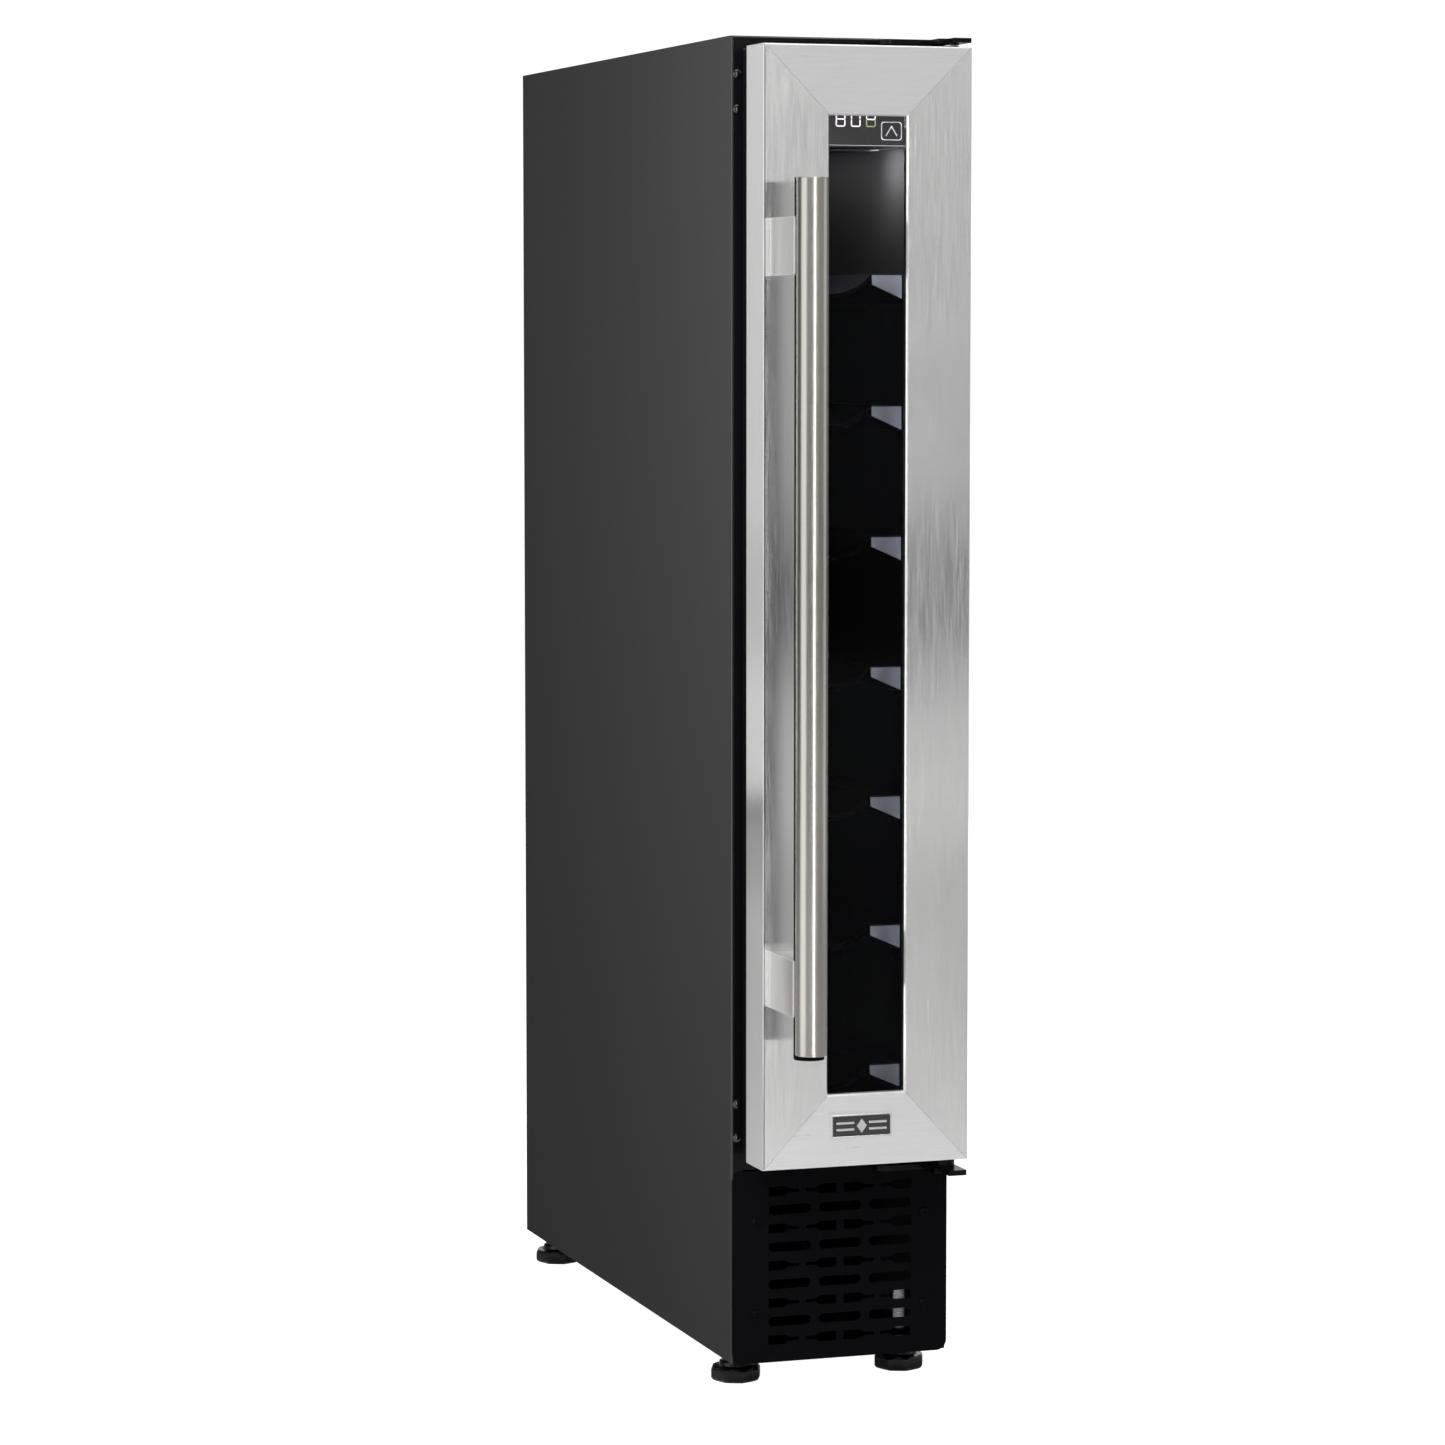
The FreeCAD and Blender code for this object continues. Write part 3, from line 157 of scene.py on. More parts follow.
def world():
    """White to the eye; to the object a dim room with a dark line just under the horizon."""
    room = bpy.data.worlds.new("room")
    room.use_nodes = True
    tree = room.node_tree
    dim = tree.nodes["Background"]
    place = add_node(tree, "TexCoord")
    split = add_node(tree, "SeparateXYZ")
    link(tree, place.outputs["Generated"], split.inputs[0])
    lift = add_node(tree, "MapRange", From_Min=-0.5, From_Max=0.5)
    link(tree, split.outputs["Z"], lift.inputs["Value"])
    ramp = add_node(tree, "ValToRGB")
    link(tree, lift.outputs["Result"], ramp.inputs["Fac"])
    stops = ramp.color_ramp.elements
    for at, grey in HORIZON:
        stops.new(at).color = (grey, grey, grey, 1)
    stops[0].color = (NADIR, NADIR, NADIR, 1)
    stops[-1].color = (ZENITH, ZENITH, ZENITH, 1)
    link(tree, ramp.outputs["Color"], dim.inputs["Color"])
    # the half of the room behind the object is dimmer
    behind = add_node(tree, "MapRange", From_Min=-0.4, From_Max=0.4, To_Min=1.0, To_Max=0.3)
    link(tree, split.outputs["Y"], behind.inputs["Value"])
    link(tree, behind.outputs["Result"], dim.inputs["Strength"])
    seen = add_node(tree, "Background", Color=(1, 1, 1, 1), Strength=1.05)
    path = add_node(tree, "LightPath")
    mix = add_node(tree, "MixShader")
    link(tree, path.outputs["Is Camera Ray"], mix.inputs["Fac"])
    link(tree, dim.outputs[0], mix.inputs[1])
    link(tree, seen.outputs[0], mix.inputs[2])
    link(tree, mix.outputs[0], tree.nodes["World Output"].inputs["Surface"])
    bpy.context.scene.world = room


def studio():
    """The room and its soft lamps; the two fills light the object but don't mirror in it."""
    world()
    bpy.context.scene.view_settings.view_transform = "Standard"
    middle = (0, -0.1, 0.5)
    for name, place, target, size, radiance in (
        ("left_softbox", around(72, 1.25, 0.62), (0, -0.1, 0.62), (0.92, 1.2), 1.35),
        ("front_strip", around(4.5, 1.4, 0.6), (0, -0.1, 0.6), (0.17, 1.2), 6.0),
        ("right_softbox", around(-78, 2.6, 1.0), middle, (1.2, 2.2), 0.7),
        ("rear_left_softbox", (-1.15, 2.1, 1.0), middle, (0.75, 1.8), 0.85),
        ("rear_softbox", (0.9, 3.0, 1.4), middle, (1.6, 1.8), 1.0),
        ("top_softbox", (0, -0.6, 3.2), middle, (2.2, 2.2), 1.8),
        ("window_fill", around(32, 2.8, 1.0), middle, (1.0, 2.2), 4.0),
        ("side_fill", (-0.6, -0.75, 0.92), (0, -0.1, 0.65), (0.4, 0.4), 33),
    ):
        lamp = softbox(name, place, target, size, radiance)
        lamp.visible_glossy = not name.endswith("_fill")


def floor():
    """A disc that looks plain white; to the object it is a grey floor with its shade on it."""
    work = bmesh.new()
    bmesh.ops.create_circle(work, cap_ends=True, radius=3.4, segments=96)
    item = piece_from("floor", work)
    material = surface("floor_paint", [FLOOR_GREY] * 3, 0.85, scale=3, tone=0.01)
    tree = material.node_tree
    shader = tree.nodes["Principled BSDF"]
    shader.inputs["Emission Color"].default_value = (1, 1, 1, 1)
    seen = add_node(tree, "LightPath").outputs["Is Camera Ray"]
    glow = scaled(tree, seen, 1 - FLOOR_GLOW, more=FLOOR_GLOW)
    link(tree, glow, shader.inputs["Emission Strength"])
    item.data.materials.append(material)


# ---- mesh helpers ------------------------------------------------------------------------

SHARP = math.radians(32)
BEVEL_FROM = math.radians(35)


def piece_from(name, work):
    """Turns a bmesh into an object, smooth except where it folds."""
    bmesh.ops.recalc_face_normals(work, faces=work.faces)
    mesh = bpy.data.meshes.new(name)
    work.to_mesh(mesh)
    work.free()
    mesh.shade_smooth()
    mesh.set_sharp_from_angle(angle=SHARP)
    item = bpy.data.objects.new(name, mesh)
    bpy.context.scene.collection.objects.link(item)
    flatten(item)
    return item


def flatten(item):
    """Keeps broad faces flat to the light beside their rounded edges."""
    even = item.modifiers.new("normals", "WEIGHTED_NORMAL")
    even.keep_sharp = True
    even.weight = 90


def paint(item, material):
    item.data.materials.clear()
    item.data.materials.append(material)


def settle(item, body, slot, material, *replaced):
    """Gives a new piece its look and its body, and hides the CAD nodes it stands for; slot is not
    used.
    """
    paint(item, material)
    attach(item, body)
    if replaced:
        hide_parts(*replaced)
    return item


def join(work, ring, after):
    """Faces between two rings of as many vertices, all the way round."""
    for i in range(len(ring)):
        j = (i + 1) % len(ring)
        work.faces.new((ring[i], ring[j], after[j], after[i]))


def close(work, ends):
    """The solid between two rings."""
    join(work, *ends)
    for end in ends:
        work.faces.new(end)


def add_box(work, low, high, radius=0.0, steps=2):
    """Adds a box, its edges rounded to radius."""
    size = Vector(high) - Vector(low)
    middle = (Vector(high) + Vector(low)) / 2
    made = bmesh.ops.create_cube(work, size=1)["verts"]
    for vert in made:
        vert.co = Vector(a * b for a, b in zip(vert.co, size)) + middle
    if radius:
        edges = {edge for vert in made for edge in vert.link_edges}
        bmesh.ops.bevel(
            work, geom=list(edges), offset=radius, segments=steps, affect="EDGES", profile=0.5
        )


def add_lathe(work, outline, centre, axis="z", steps=48, ripple=None):
    """Turns (radius, along) points about an axis through centre; ripple scales a radius."""
    rings = []
    for radius, along in outline:
        ring = []
        for step in range(steps):
            angle = math.tau * step / steps
            wide = radius * (ripple(angle, radius, along) if ripple else 1)
            a, b = wide * math.cos(angle), wide * math.sin(angle)
            spot = {"z": (a, b, along), "y": (a, along, b)}[axis]
            ring.append(work.verts.new(Vector(centre) + Vector(spot)))
        rings.append(ring)
    for ring, after in zip(rings, rings[1:]):
        join(work, ring, after)
    for (radius, _), ring in ((outline[0], rings[0]), (outline[-1], rings[-1])):
        if radius > 0:
            work.faces.new(ring)
    bmesh.ops.remove_doubles(work, verts=[v for ring in rings for v in ring], dist=1e-7)


def add_prism(work, outline, low, high):
    """Extrudes a closed outline of X and Z points along Y."""
    close(work, [[work.verts.new((x, end, z)) for x, z in outline] for end in (low, high)])


def arc(centre, radius, start, end, steps=5):
    """Points on an arc, angles in degrees."""
    angles = [math.radians(start + (end - start) * i / steps) for i in range(steps + 1)]
    return [(centre[0] + radius * math.cos(a), centre[1] + radius * math.sin(a)) for a in angles]


def rounded(low, high, radius, steps=5):
    """A rectangle's outline with round corners."""
    (x0, y0), (x1, y1) = low, high
    spots = arc((x1 - radius, y0 + radius), radius, -90, 0, steps)
    spots += arc((x1 - radius, y1 - radius), radius, 0, 90, steps)
    spots += arc((x0 + radius, y1 - radius), radius, 90, 180, steps)
    return spots + arc((x0 + radius, y0 + radius), radius, 180, 270, steps)


def add_frame(work, section, corners):
    """Sweeps a section of (inward, y) points round a rectangle in X and Z, mitred."""
    (x0, z0), (x1, z1) = corners
    rings = []
    for x, z, way_x, way_z in ((x0, z0, 1, 1), (x1, z0, -1, 1), (x1, z1, -1, -1), (x0, z1, 1, -1)):
        rings.append([work.verts.new((x + way_x * d, y, z + way_z * d)) for d, y in section])
    for ring, after in zip(rings, rings[1:] + rings[:1]):
        join(work, ring, after)


def soften(name, width, edge=None):
    """Rounds a carried-over CAD node's edges; edge is a look for the rounded parts only."""
    bevel = nodes[name].modifiers.new("edges", "BEVEL")
    if edge:
        nodes[name].data.materials.append(edge)
        bevel.material = 1
    bevel.width = width
    bevel.segments = 2
    bevel.limit_method = "ANGLE"
    bevel.angle_limit = BEVEL_FROM
    flatten(nodes[name])


# ---- materials ---------------------------------------------------------------------------

FINE_SHARE = 0.6  # of the mottling; the rest is the broad noise


def surface(
    name, colour, rough, metal=0.0, scale=220.0, stretch=(1, 1, 1), tone=0.06, wear=0.05,
    relief=0.0, **sockets
):
    """Principled; its colour and roughness follow a fine and a broad noise, its relief the fine."""
    material = bpy.data.materials.new(name)
    material.use_nodes = True
    tree = material.node_tree
    shader = tree.nodes["Principled BSDF"]
    shader.inputs["Metallic"].default_value = metal
    for socket, amount in sockets.items():
        shader.inputs[socket.replace("_", " ")].default_value = amount
    place = add_node(tree, "TexCoord")
    mapping = add_node(tree, "Mapping", Scale=stretch)
    link(tree, place.outputs["Object"], mapping.inputs["Vector"])
    fine = add_node(tree, "TexNoise", Scale=scale, Detail=5)
    broad = add_node(tree, "TexNoise", Scale=6, Detail=3)
    link(tree, mapping.outputs[0], fine.inputs["Vector"])
    link(tree, place.outputs["Object"], broad.inputs["Vector"])
    broad_part = scaled(tree, broad.outputs["Fac"], 1 - FINE_SHARE)
    blend = scaled(tree, fine.outputs["Fac"], FINE_SHARE, plus=broad_part)
    mottle = tree.nodes.new("ShaderNodeMix")
    mottle.data_type = "RGBA"
    mottle.inputs["A"].default_value = [c * (1 - tone) for c in colour] + [1]
    mottle.inputs["B"].default_value = [c * (1 + tone) for c in colour] + [1]
    link(tree, blend, mottle.inputs["Factor"])
    link(tree, mottle.outputs["Result"], shader.inputs["Base Color"])
    gloss = add_node(tree, "MapRange", From_Min=0.25, From_Max=0.75)
    gloss.inputs["To Min"].default_value = max(0.02, rough - wear)
    gloss.inputs["To Max"].default_value = rough + wear
    link(tree, blend, gloss.inputs["Value"])
    link(tree, gloss.outputs["Result"], shader.inputs["Roughness"])
    if relief:
        bump = add_node(tree, "Bump", Strength=0.6, Distance=relief)
        link(tree, fine.outputs["Fac"], bump.inputs["Height"])
        link(tree, bump.outputs["Normal"], shader.inputs["Normal"])
    return material


def brushed(name, colour, rough, along, grain, lean):
    """Stainless sheet with its grain along one axis."""
    stretch = [1.0, 1.0, 1.0]
    stretch["xyz".index(along)] = 0.03
    material = surface(
        name, colour, rough, metal=1.0, scale=1100, stretch=stretch, tone=grain,
        relief=0.000008, Anisotropic=lean,
    )
    tree = material.node_tree
    tangent = add_node(tree, "Tangent")
    tangent.direction_type = "RADIAL"
    tangent.axis = along.upper()
    link(tree, tangent.outputs[0], tree.nodes["Principled BSDF"].inputs["Tangent"])
    return material


def glowing(name, colour, strength):
    """Lit characters, a little uneven, as a diode behind a diffuser is."""
    material = surface(name, colour, 0.4, scale=900, tone=0.1)
    shader = material.node_tree.nodes["Principled BSDF"]
    shader.inputs["Emission Color"].default_value = (*colour, 1)
    shader.inputs["Emission Strength"].default_value = strength
    return material


def pane(name, alpha):
    """Clear, almost reflection-free insulating glass."""
    material = surface(
        name, (0.004, 0.004, 0.005), 0.03, scale=40, tone=0.03, wear=0.01,
        Specular_IOR_Level=0.2,
    )
    material.node_tree.nodes["Principled BSDF"].inputs["Alpha"].default_value = alpha
    return material


CHARCOAL = (0.028, 0.028, 0.0285)
BLACK = (0.0016, 0.0016, 0.0022)
SATIN = {"scale": 900, "wear": 0.03, "relief": 0.00001}

# name: (colour, roughness, what differs from a plain surface)
SURFACES = {
    "side_paint": (
        CHARCOAL, 0.36, {"scale": 1400, "wear": 0.04, "relief": 0.00001, "Specular_IOR_Level": 0.0}
    ),
    # flange_paint: on the cabinet's front flange it is a darker copy of side_paint, painted shade
    "flange_paint": (BLACK, 0.25, {**SATIN, "Specular_IOR_Level": 0.12}),
    # fold_paint: a glossier copy of the black on folds, edges and plugs, so they glint: painted
    # glint
    "fold_paint": (BLACK, 0.22, {**SATIN, "Specular_IOR_Level": 0.9}),
    "black_paint": (BLACK, 0.2, {**SATIN, "Specular_IOR_Level": 0.03}),
    "black_plastic": (
        (0.006, 0.006, 0.007), 0.45, {"scale": 2400, "relief": 0.00003, "Specular_IOR_Level": 0.2}
    ),
    "liner_plastic": (
        (0.0032, 0.0032, 0.0034), 0.3, {"scale": 300, "Specular_IOR_Level": 0.1}
    ),
    "shelf_plastic": (
        (0.002, 0.002, 0.003), 0.32, {"scale": 1800, "relief": 0.00002, "Specular_IOR_Level": 0.12}
    ),
    # shelf_trim is pale so the trims show the light their faces catch: painted highlight
    "shelf_trim": ((0.72, 0.76, 0.92), 0.3, {"scale": 600, "tone": 0.1}),
    "trim_edge": ((0.03, 0.035, 0.075), 0.3, {"scale": 600, "tone": 0.1}),
    # display_black glows faintly though the plate is no lamp: painted light on the control face
    "display_black": (
        (0.012, 0.012, 0.013), 0.25, {"scale": 200, "tone": 0.1, "Emission_Strength": 0.058}
    ),
    "gasket_rubber": ((0.010, 0.010, 0.010), 0.6, {"scale": 1500, "relief": 0.00003}),
    "spacer_metal": ((0.02, 0.02, 0.022), 0.4, {"metal": 0.6}),
    "foam": ((0.72, 0.62, 0.36), 0.9, {"scale": 900, "tone": 0.2, "relief": 0.0004}),
    "galvanised": (
        (0.42, 0.43, 0.45), 0.42, {"metal": 0.9, "scale": 90, "tone": 0.18, "wear": 0.1}
    ),
    # zinc is light and mostly matte so the studs behind the grille look as bright as glints: partly
    # zinc's own light colour, partly painted reflection
    "zinc": ((0.95, 0.97, 0.99), 0.25, {"metal": 0.2, "scale": 700, "tone": 0.1}),
    "foot_plastic": ((0.002, 0.002, 0.003), 0.2, {"scale": 900, "Specular_IOR_Level": 0.25}),
    # a near-black strip along the handle bar's back
    "handle_backing_black": ((0.002, 0.002, 0.002), 0.7, {"scale": 900, "Specular_IOR_Level": 0.05}),
    "board": ((0.015, 0.11, 0.04), 0.35, {"scale": 400, "tone": 0.25}),
    "fin_aluminium": ((0.02, 0.02, 0.022), 0.45, {"metal": 0.3, "scale": 500, "tone": 0.15}),
    "copper": ((0.75, 0.33, 0.18), 0.3, {"metal": 1.0, "scale": 300, "tone": 0.2}),
    "compressor_paint": ((0.01, 0.01, 0.01), 0.2, {"scale": 200, "Coat_Weight": 0.4}),
    "fan_plastic": ((0.014, 0.014, 0.015), 0.4, {"scale": 900}),
    "grommet_rubber": ((0.02, 0.02, 0.02), 0.7, {"scale": 900}),
    "pan_plastic": ((0.09, 0.09, 0.095), 0.5, {"scale": 900}),
    "badge_metal": ((0.006, 0.006, 0.007), 0.12, {"scale": 400, "Coat_Weight": 1.0}),
    "badge_rim": ((0.8, 0.8, 0.81), 0.12, {"metal": 1.0, "scale": 400}),
}


# name: (colour, roughness, axis of the grain, how uneven it is, how far it draws reflections out)
# one stainless in four colours: the level rails' lighter colour is painted light, the posts' and
# the handle bar's darker colours are painted shade
STEELS = {
    "steel_upright": ((0.86, 0.86, 0.855), 0.17, "z", 0.13, 0.95),
    "steel_level": ((0.97, 0.97, 0.965), 0.3, "x", 0.13, 0.95),
    "post_steel": ((0.78, 0.775, 0.76), 0.3, "x", 0.13, 0.95),
    "handle_steel": ((0.44, 0.425, 0.395), 0.2, "z", 0.1, 0.8),
}
PANES = {"outer_glass": (0.10,), "inner_glass": (0.06,)}
LIGHTS = {
    "lamp_lens": ((0.06, 0.064, 0.072), 0.5),
    "digit_white": ((1.0, 0.90, 0.97), 1.5),
    "digit_green": ((0.50, 0.56, 0.30), 0.7),
    "icon_print": ((0.78, 0.78, 0.84), 0.8),
}


def make_materials():
    """Every look by its name."""
    made = {name: surface(name, *look, **more) for name, (*look, more) in SURFACES.items()}
    for make, looks in ((brushed, STEELS), (pane, PANES), (glowing, LIGHTS)):
        for name, look in looks.items():
            made[name] = make(name, *look)
    return made


# ---- carried-over CAD nodes --------------------------------------------------------------

# the nodes whose look isn't their slot's own
OTHER_LOOKS = {
    "hinge_bracket_top": "flange_paint", "hinge_bracket_bottom": "flange_paint",
    # the coil and the base tray behind the grille are black, so the grille's slots show dark
    "handle_backing": "handle_backing_black", "condenser_coil": "black_paint",
    "base_tray": "black_paint",
}
# the radius in millimetres of the nodes' rounded edges
EDGES = {
    "plinth_grille": 0.55, "hinge_bracket_top": 0.5, "hinge_bracket_bottom": 0.5,
    "inner_liner": 0.6, "control_housing": 0.8, "evaporator_cover": 0.5,
    "handle_backing": 0.3, "compressor_terminal_box": 2, "drip_pan": 0.6,
    "rear_vent_cover": 0.25, "rear_panel": 0.3, "cord_gland": 0.6, "door_liner": 0.8,
    "condenser_fan_frame": 0.8, "evaporator_fan_frame": 0.6, "compressor": 0.6,
    "base_tray": 0.3, "machine_bay_roof": 0.3, "door_glass_outer": 0.5,
    "door_glass_inner": 0.5, "glass_spacer": 0.4, "evaporator": 0.3, "control_board": 0.2,
    "foam_insulation": 1.5, "door_core": 0.8, "filter_drier": 0.5,
    **dict.fromkeys(SHELVES, 0.5),
}
# the black nodes whose rounded edges take the glossier fold_paint, so they catch the light: painted
# glint
GLINT_EDGED = ("plinth_grille", "rear_vent_cover", "hinge_bracket_top", "hinge_bracket_bottom")


def dress_cad(materials):
    """Looks for every carried-over CAD node, and rounded edges for those with corners."""
    for entry in frame["record"]["subparts"]:
        look = materials.get(entry["material_slot"], materials["steel_upright"])
        paint(nodes[entry["node"]], look)
    for name, look in OTHER_LOOKS.items():
        paint(nodes[name], materials[look])
    for name, width in EDGES.items():
        soften(name, width * MM, edge=materials["fold_paint"] if name in GLINT_EDGED else None)


# ---- cabinet -----------------------------------------------------------------------------

SKIN = 1.0 * MM
FOLD = 1.6 * MM
LIP = 8.0 * MM


def side_skin(side, name, materials):
    """A steel side with a rounded fold and a lip whose top end is mitred."""
    edge = side * CAB_RIGHT
    deep = CAB_HIGH.y - FRONT
    section = [(0, deep)] + arc((FOLD, FOLD), FOLD, 180, 270) + [(LIP, 0), (LIP, SKIN)]
    section += arc((FOLD, FOLD), FOLD - SKIN, 270, 180) + [(SKIN, deep)]
    work = bmesh.new()
    ends = []
    for top in (False, True):
        ring = []
        for inward, depth in section:
            mitre = inward if depth <= FOLD else 0
            z = CAB_HIGH.z - mitre if top else CAB_LOW.z
            ring.append(work.verts.new((edge - side * inward, FRONT + depth, z)))
        ends.append(ring)
    close(work, ends)
    item = piece_from(name + "_skin", work)
    settle(item, "cabinet", "side_paint", materials["side_paint"], name)
    dress_front(item, materials)


def dress_front(item, materials):
    """Gives the flange that looks forward a darker copy of the side's paint, painted shade, and the
    fold beside it a glossier copy of that black, a painted glint.
    """
    item.data.materials.append(materials["flange_paint"])
    item.data.materials.append(materials["fold_paint"])
    for face in item.data.polygons:
        ahead = -face.normal.y
        face.material_index = 1 if ahead > 0.93 else 2 if ahead > 0.25 else 0


def top_skin(materials):
    """The top sheet, folded down in front to a lip whose ends are mitred."""
    half = CAB_RIGHT - SKIN
    outline = [(CAB_HIGH.y, CAB_HIGH.z), (FRONT + FOLD, CAB_HIGH.z)]
    outline += [(FRONT + y, CAB_HIGH.z - z) for y, z in arc((FOLD, FOLD), FOLD, 270, 180)][1:]
    outline += [(FRONT, CAB_HIGH.z - LIP), (FRONT + SKIN, CAB_HIGH.z - LIP)]
    outline += [(FRONT + SKIN, CAB_HIGH.z - FOLD), (FRONT + FOLD, CAB_HIGH.z - SKIN)]
    outline += [(CAB_HIGH.y, CAB_HIGH.z - SKIN)]
    work = bmesh.new()
    ends = []
    for side in (-1, 1):
        reach = [half - max(0, CAB_HIGH.z - z - SKIN) for y, z in outline]
        ends.append([work.verts.new((side * x, y, z)) for x, (y, z) in zip(reach, outline)])
    close(work, ends)
    item = piece_from("top_panel_skin", work)
    settle(item, "cabinet", "side_paint", materials["side_paint"], "top_panel")
    dress_front(item, materials)


# (radius, height) in millimetres of a foot's pad
PAD = (
    (0, 0), (14.2, 0), (16.0, 0.9), (17, 2.4), (17, 7.4), (16.2, 8.8), (15.2, 9.3),
    (12.0, 9.7), (11.2, 10.4), (10.6, 12.6), (9.6, 13.2), (9.1, 14.0), (9, 20),
)
FLATNESS = 0.85  # 0 is a round pad, 1 an octagon with sharp corners
PITCH = 1.25 * MM


def flats(angle, radius, along):
    """Flattens the pad's broad lower part towards an octagon."""
    if radius < 13 * MM or along > 9 * MM:
        return 1
    eighth = math.tau / 8
    corner = (angle % eighth) - eighth / 2
    return 1 - FLATNESS + FLATNESS * math.cos(eighth / 2) / math.cos(corner)


def foot(name, materials):
    """An octagonal moulded foot, stepped above, on a threaded stud."""
    low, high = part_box(name)
    centre = ((low.x + high.x) / 2, (low.y + high.y) / 2, 0)
    top = CAB_LOW.z
    work = bmesh.new()
    outline = [(r * MM, z * MM) for r, z in PAD] + [(0, top)]
    add_lathe(work, outline, centre, steps=96, ripple=flats)
    settle(piece_from(name + "_pad", work), name, "foot_plastic", materials["foot_plastic"], name)
    work = bmesh.new()
    root, crest = 3.45 * MM, 4.0 * MM
    thread = [(0, top - 1 * MM), (3.6 * MM, top - 1 * MM)]
    for turn in range(int((high.z - 1.2 * MM - top) / PITCH)):
        start = top + turn * PITCH
        thread += [(root, start), (crest, start + 0.45 * PITCH), (crest, start + 0.6 * PITCH)]
    thread += [(3.3 * MM, high.z - 0.9 * MM), (2.6 * MM, high.z), (0, high.z)]
    add_lathe(work, thread, centre, steps=32)
    settle(piece_from(name + "_stud", work), name, "zinc", materials["zinc"])


# ---- door --------------------------------------------------------------------------------

SHEET = 1.0 * MM
PRESS = 1.1 * MM  # how far the sheet slopes back beside the window
# (inward, back) in millimetres of the groove on the handle's side of the door
SEAM = ((0, 0.2), (0.2, 0), (0.4, 0), (0.4, 0.9), (0.95, 0.9), (0.95, 0))


def member_section(depth, seam):
    """The folded sheet's section as (which edge, inward, back) points."""
    round_out = 1.3 * MM
    lip = GLASS_FRONT - DOOR_LOW.y
    spots = [("outer", 0, depth)]
    if seam:
        spots += [("outer", a * MM, b * MM) for a, b in SEAM]
    else:
        spots += [("outer", a, b) for a, b in arc((round_out, round_out), round_out, 180, 270)]
    spots += [("inner", -PRESS - 0.2 * MM, 0), ("inner", -PRESS, 0.1 * MM)]
    spots += [("inner", -0.1 * MM, PRESS), ("inner", 0, PRESS + 0.2 * MM)]
    spots += [("inner", 0, lip), ("inner", -SHEET, lip), ("inner", -SHEET, SHEET + PRESS)]
    return spots + [("outer", SHEET, SHEET), ("outer", SHEET, depth)]


def door_member(name, ends, gap, materials, steel, seam=False):
    """One mitred side of the door's steel frame, between two of its corners."""
    outer = ((DOOR_LOW.x, DOOR_LOW.z), (DOOR_HIGH.x, DOOR_HIGH.z))
    inner = ((-WINDOW_HALF, WINDOW_LOW), (WINDOW_HALF, WINDOW_HIGH))
    work = bmesh.new()
    rings = []
    for (col, row), slip in zip(ends, gap):
        way = (1 if col == 0 else -1, 1 if row == 0 else -1)
        ring = []
        for edge, inward, back in member_section(DOOR_HIGH.y - DOOR_LOW.y, seam):
            base = outer if edge == "outer" else inner
            x = base[col][0] + way[0] * inward + slip[0]
            z = base[row][1] + way[1] * inward + slip[1]
            ring.append(work.verts.new((x, DOOR_LOW.y + back, z)))
        rings.append(ring)
    close(work, rings)
    item = piece_from(name + "_sheet", work)
    settle(item, "door", "door_steel", materials[steel], name)
    if seam:
        # the groove of the seam is black
        item.data.materials.append(materials["black_plastic"])
        for face in item.data.polygons:
            inward, back = face.center.x - DOOR_LOW.x, face.center.y - DOOR_LOW.y
            face.material_index = int(0.3 * MM < inward < 0.98 * MM and 0 < back < 0.95 * MM)


def door_frame(materials):
    """Four mitred sides, a hair apart at the mitres."""
    slip = 0.09 * MM
    up, down = (0, slip), (0, -slip)
    left, right = (-slip, 0), (slip, 0)
    door_member("door_frame_left", ((0, 0), (0, 1)), (up, down), materials, "steel_upright", True)
    door_member("door_frame_right", ((1, 0), (1, 1)), (up, down), materials, "steel_upright")
    # the level rails take a lighter copy of the steel: painted light
    door_member("door_frame_top", ((0, 1), (1, 1)), (right, left), materials, "steel_level")
    door_member("door_frame_bottom", ((0, 0), (1, 0)), (right, left), materials, "steel_level")


# (inward, back) in millimetres of one side of the seal's section
BELLOWS = (
    (0.4, 0.0), (0.2, 1.2), (1.6, 2.2), (1.8, 3.0), (0.2, 4.4), (0.1, 5.4), (1.5, 6.4),
    (1.4, 7.2), (0.3, 7.8), (0, 8.6), (0, 10.6), (0.5, 11.3), (1.2, 11.5),
)
SEAL_WIDE = 9.0


def gasket(materials):
    """A magnetic seal: a dart foot, two soft folds and the strip that meets the cabinet."""
    low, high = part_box("door_gasket")
    section = [(a * MM, low.y + b * MM) for a, b in BELLOWS]
    section += [((SEAL_WIDE - a) * MM, low.y + b * MM) for a, b in reversed(BELLOWS)]
    work = bmesh.new()
    add_frame(work, section, ((low.x, low.z), (high.x, high.z)))
    settle(
        piece_from("gasket_bellows", work), "door", "gasket_rubber", materials["gasket_rubber"],
        "door_gasket",
    )


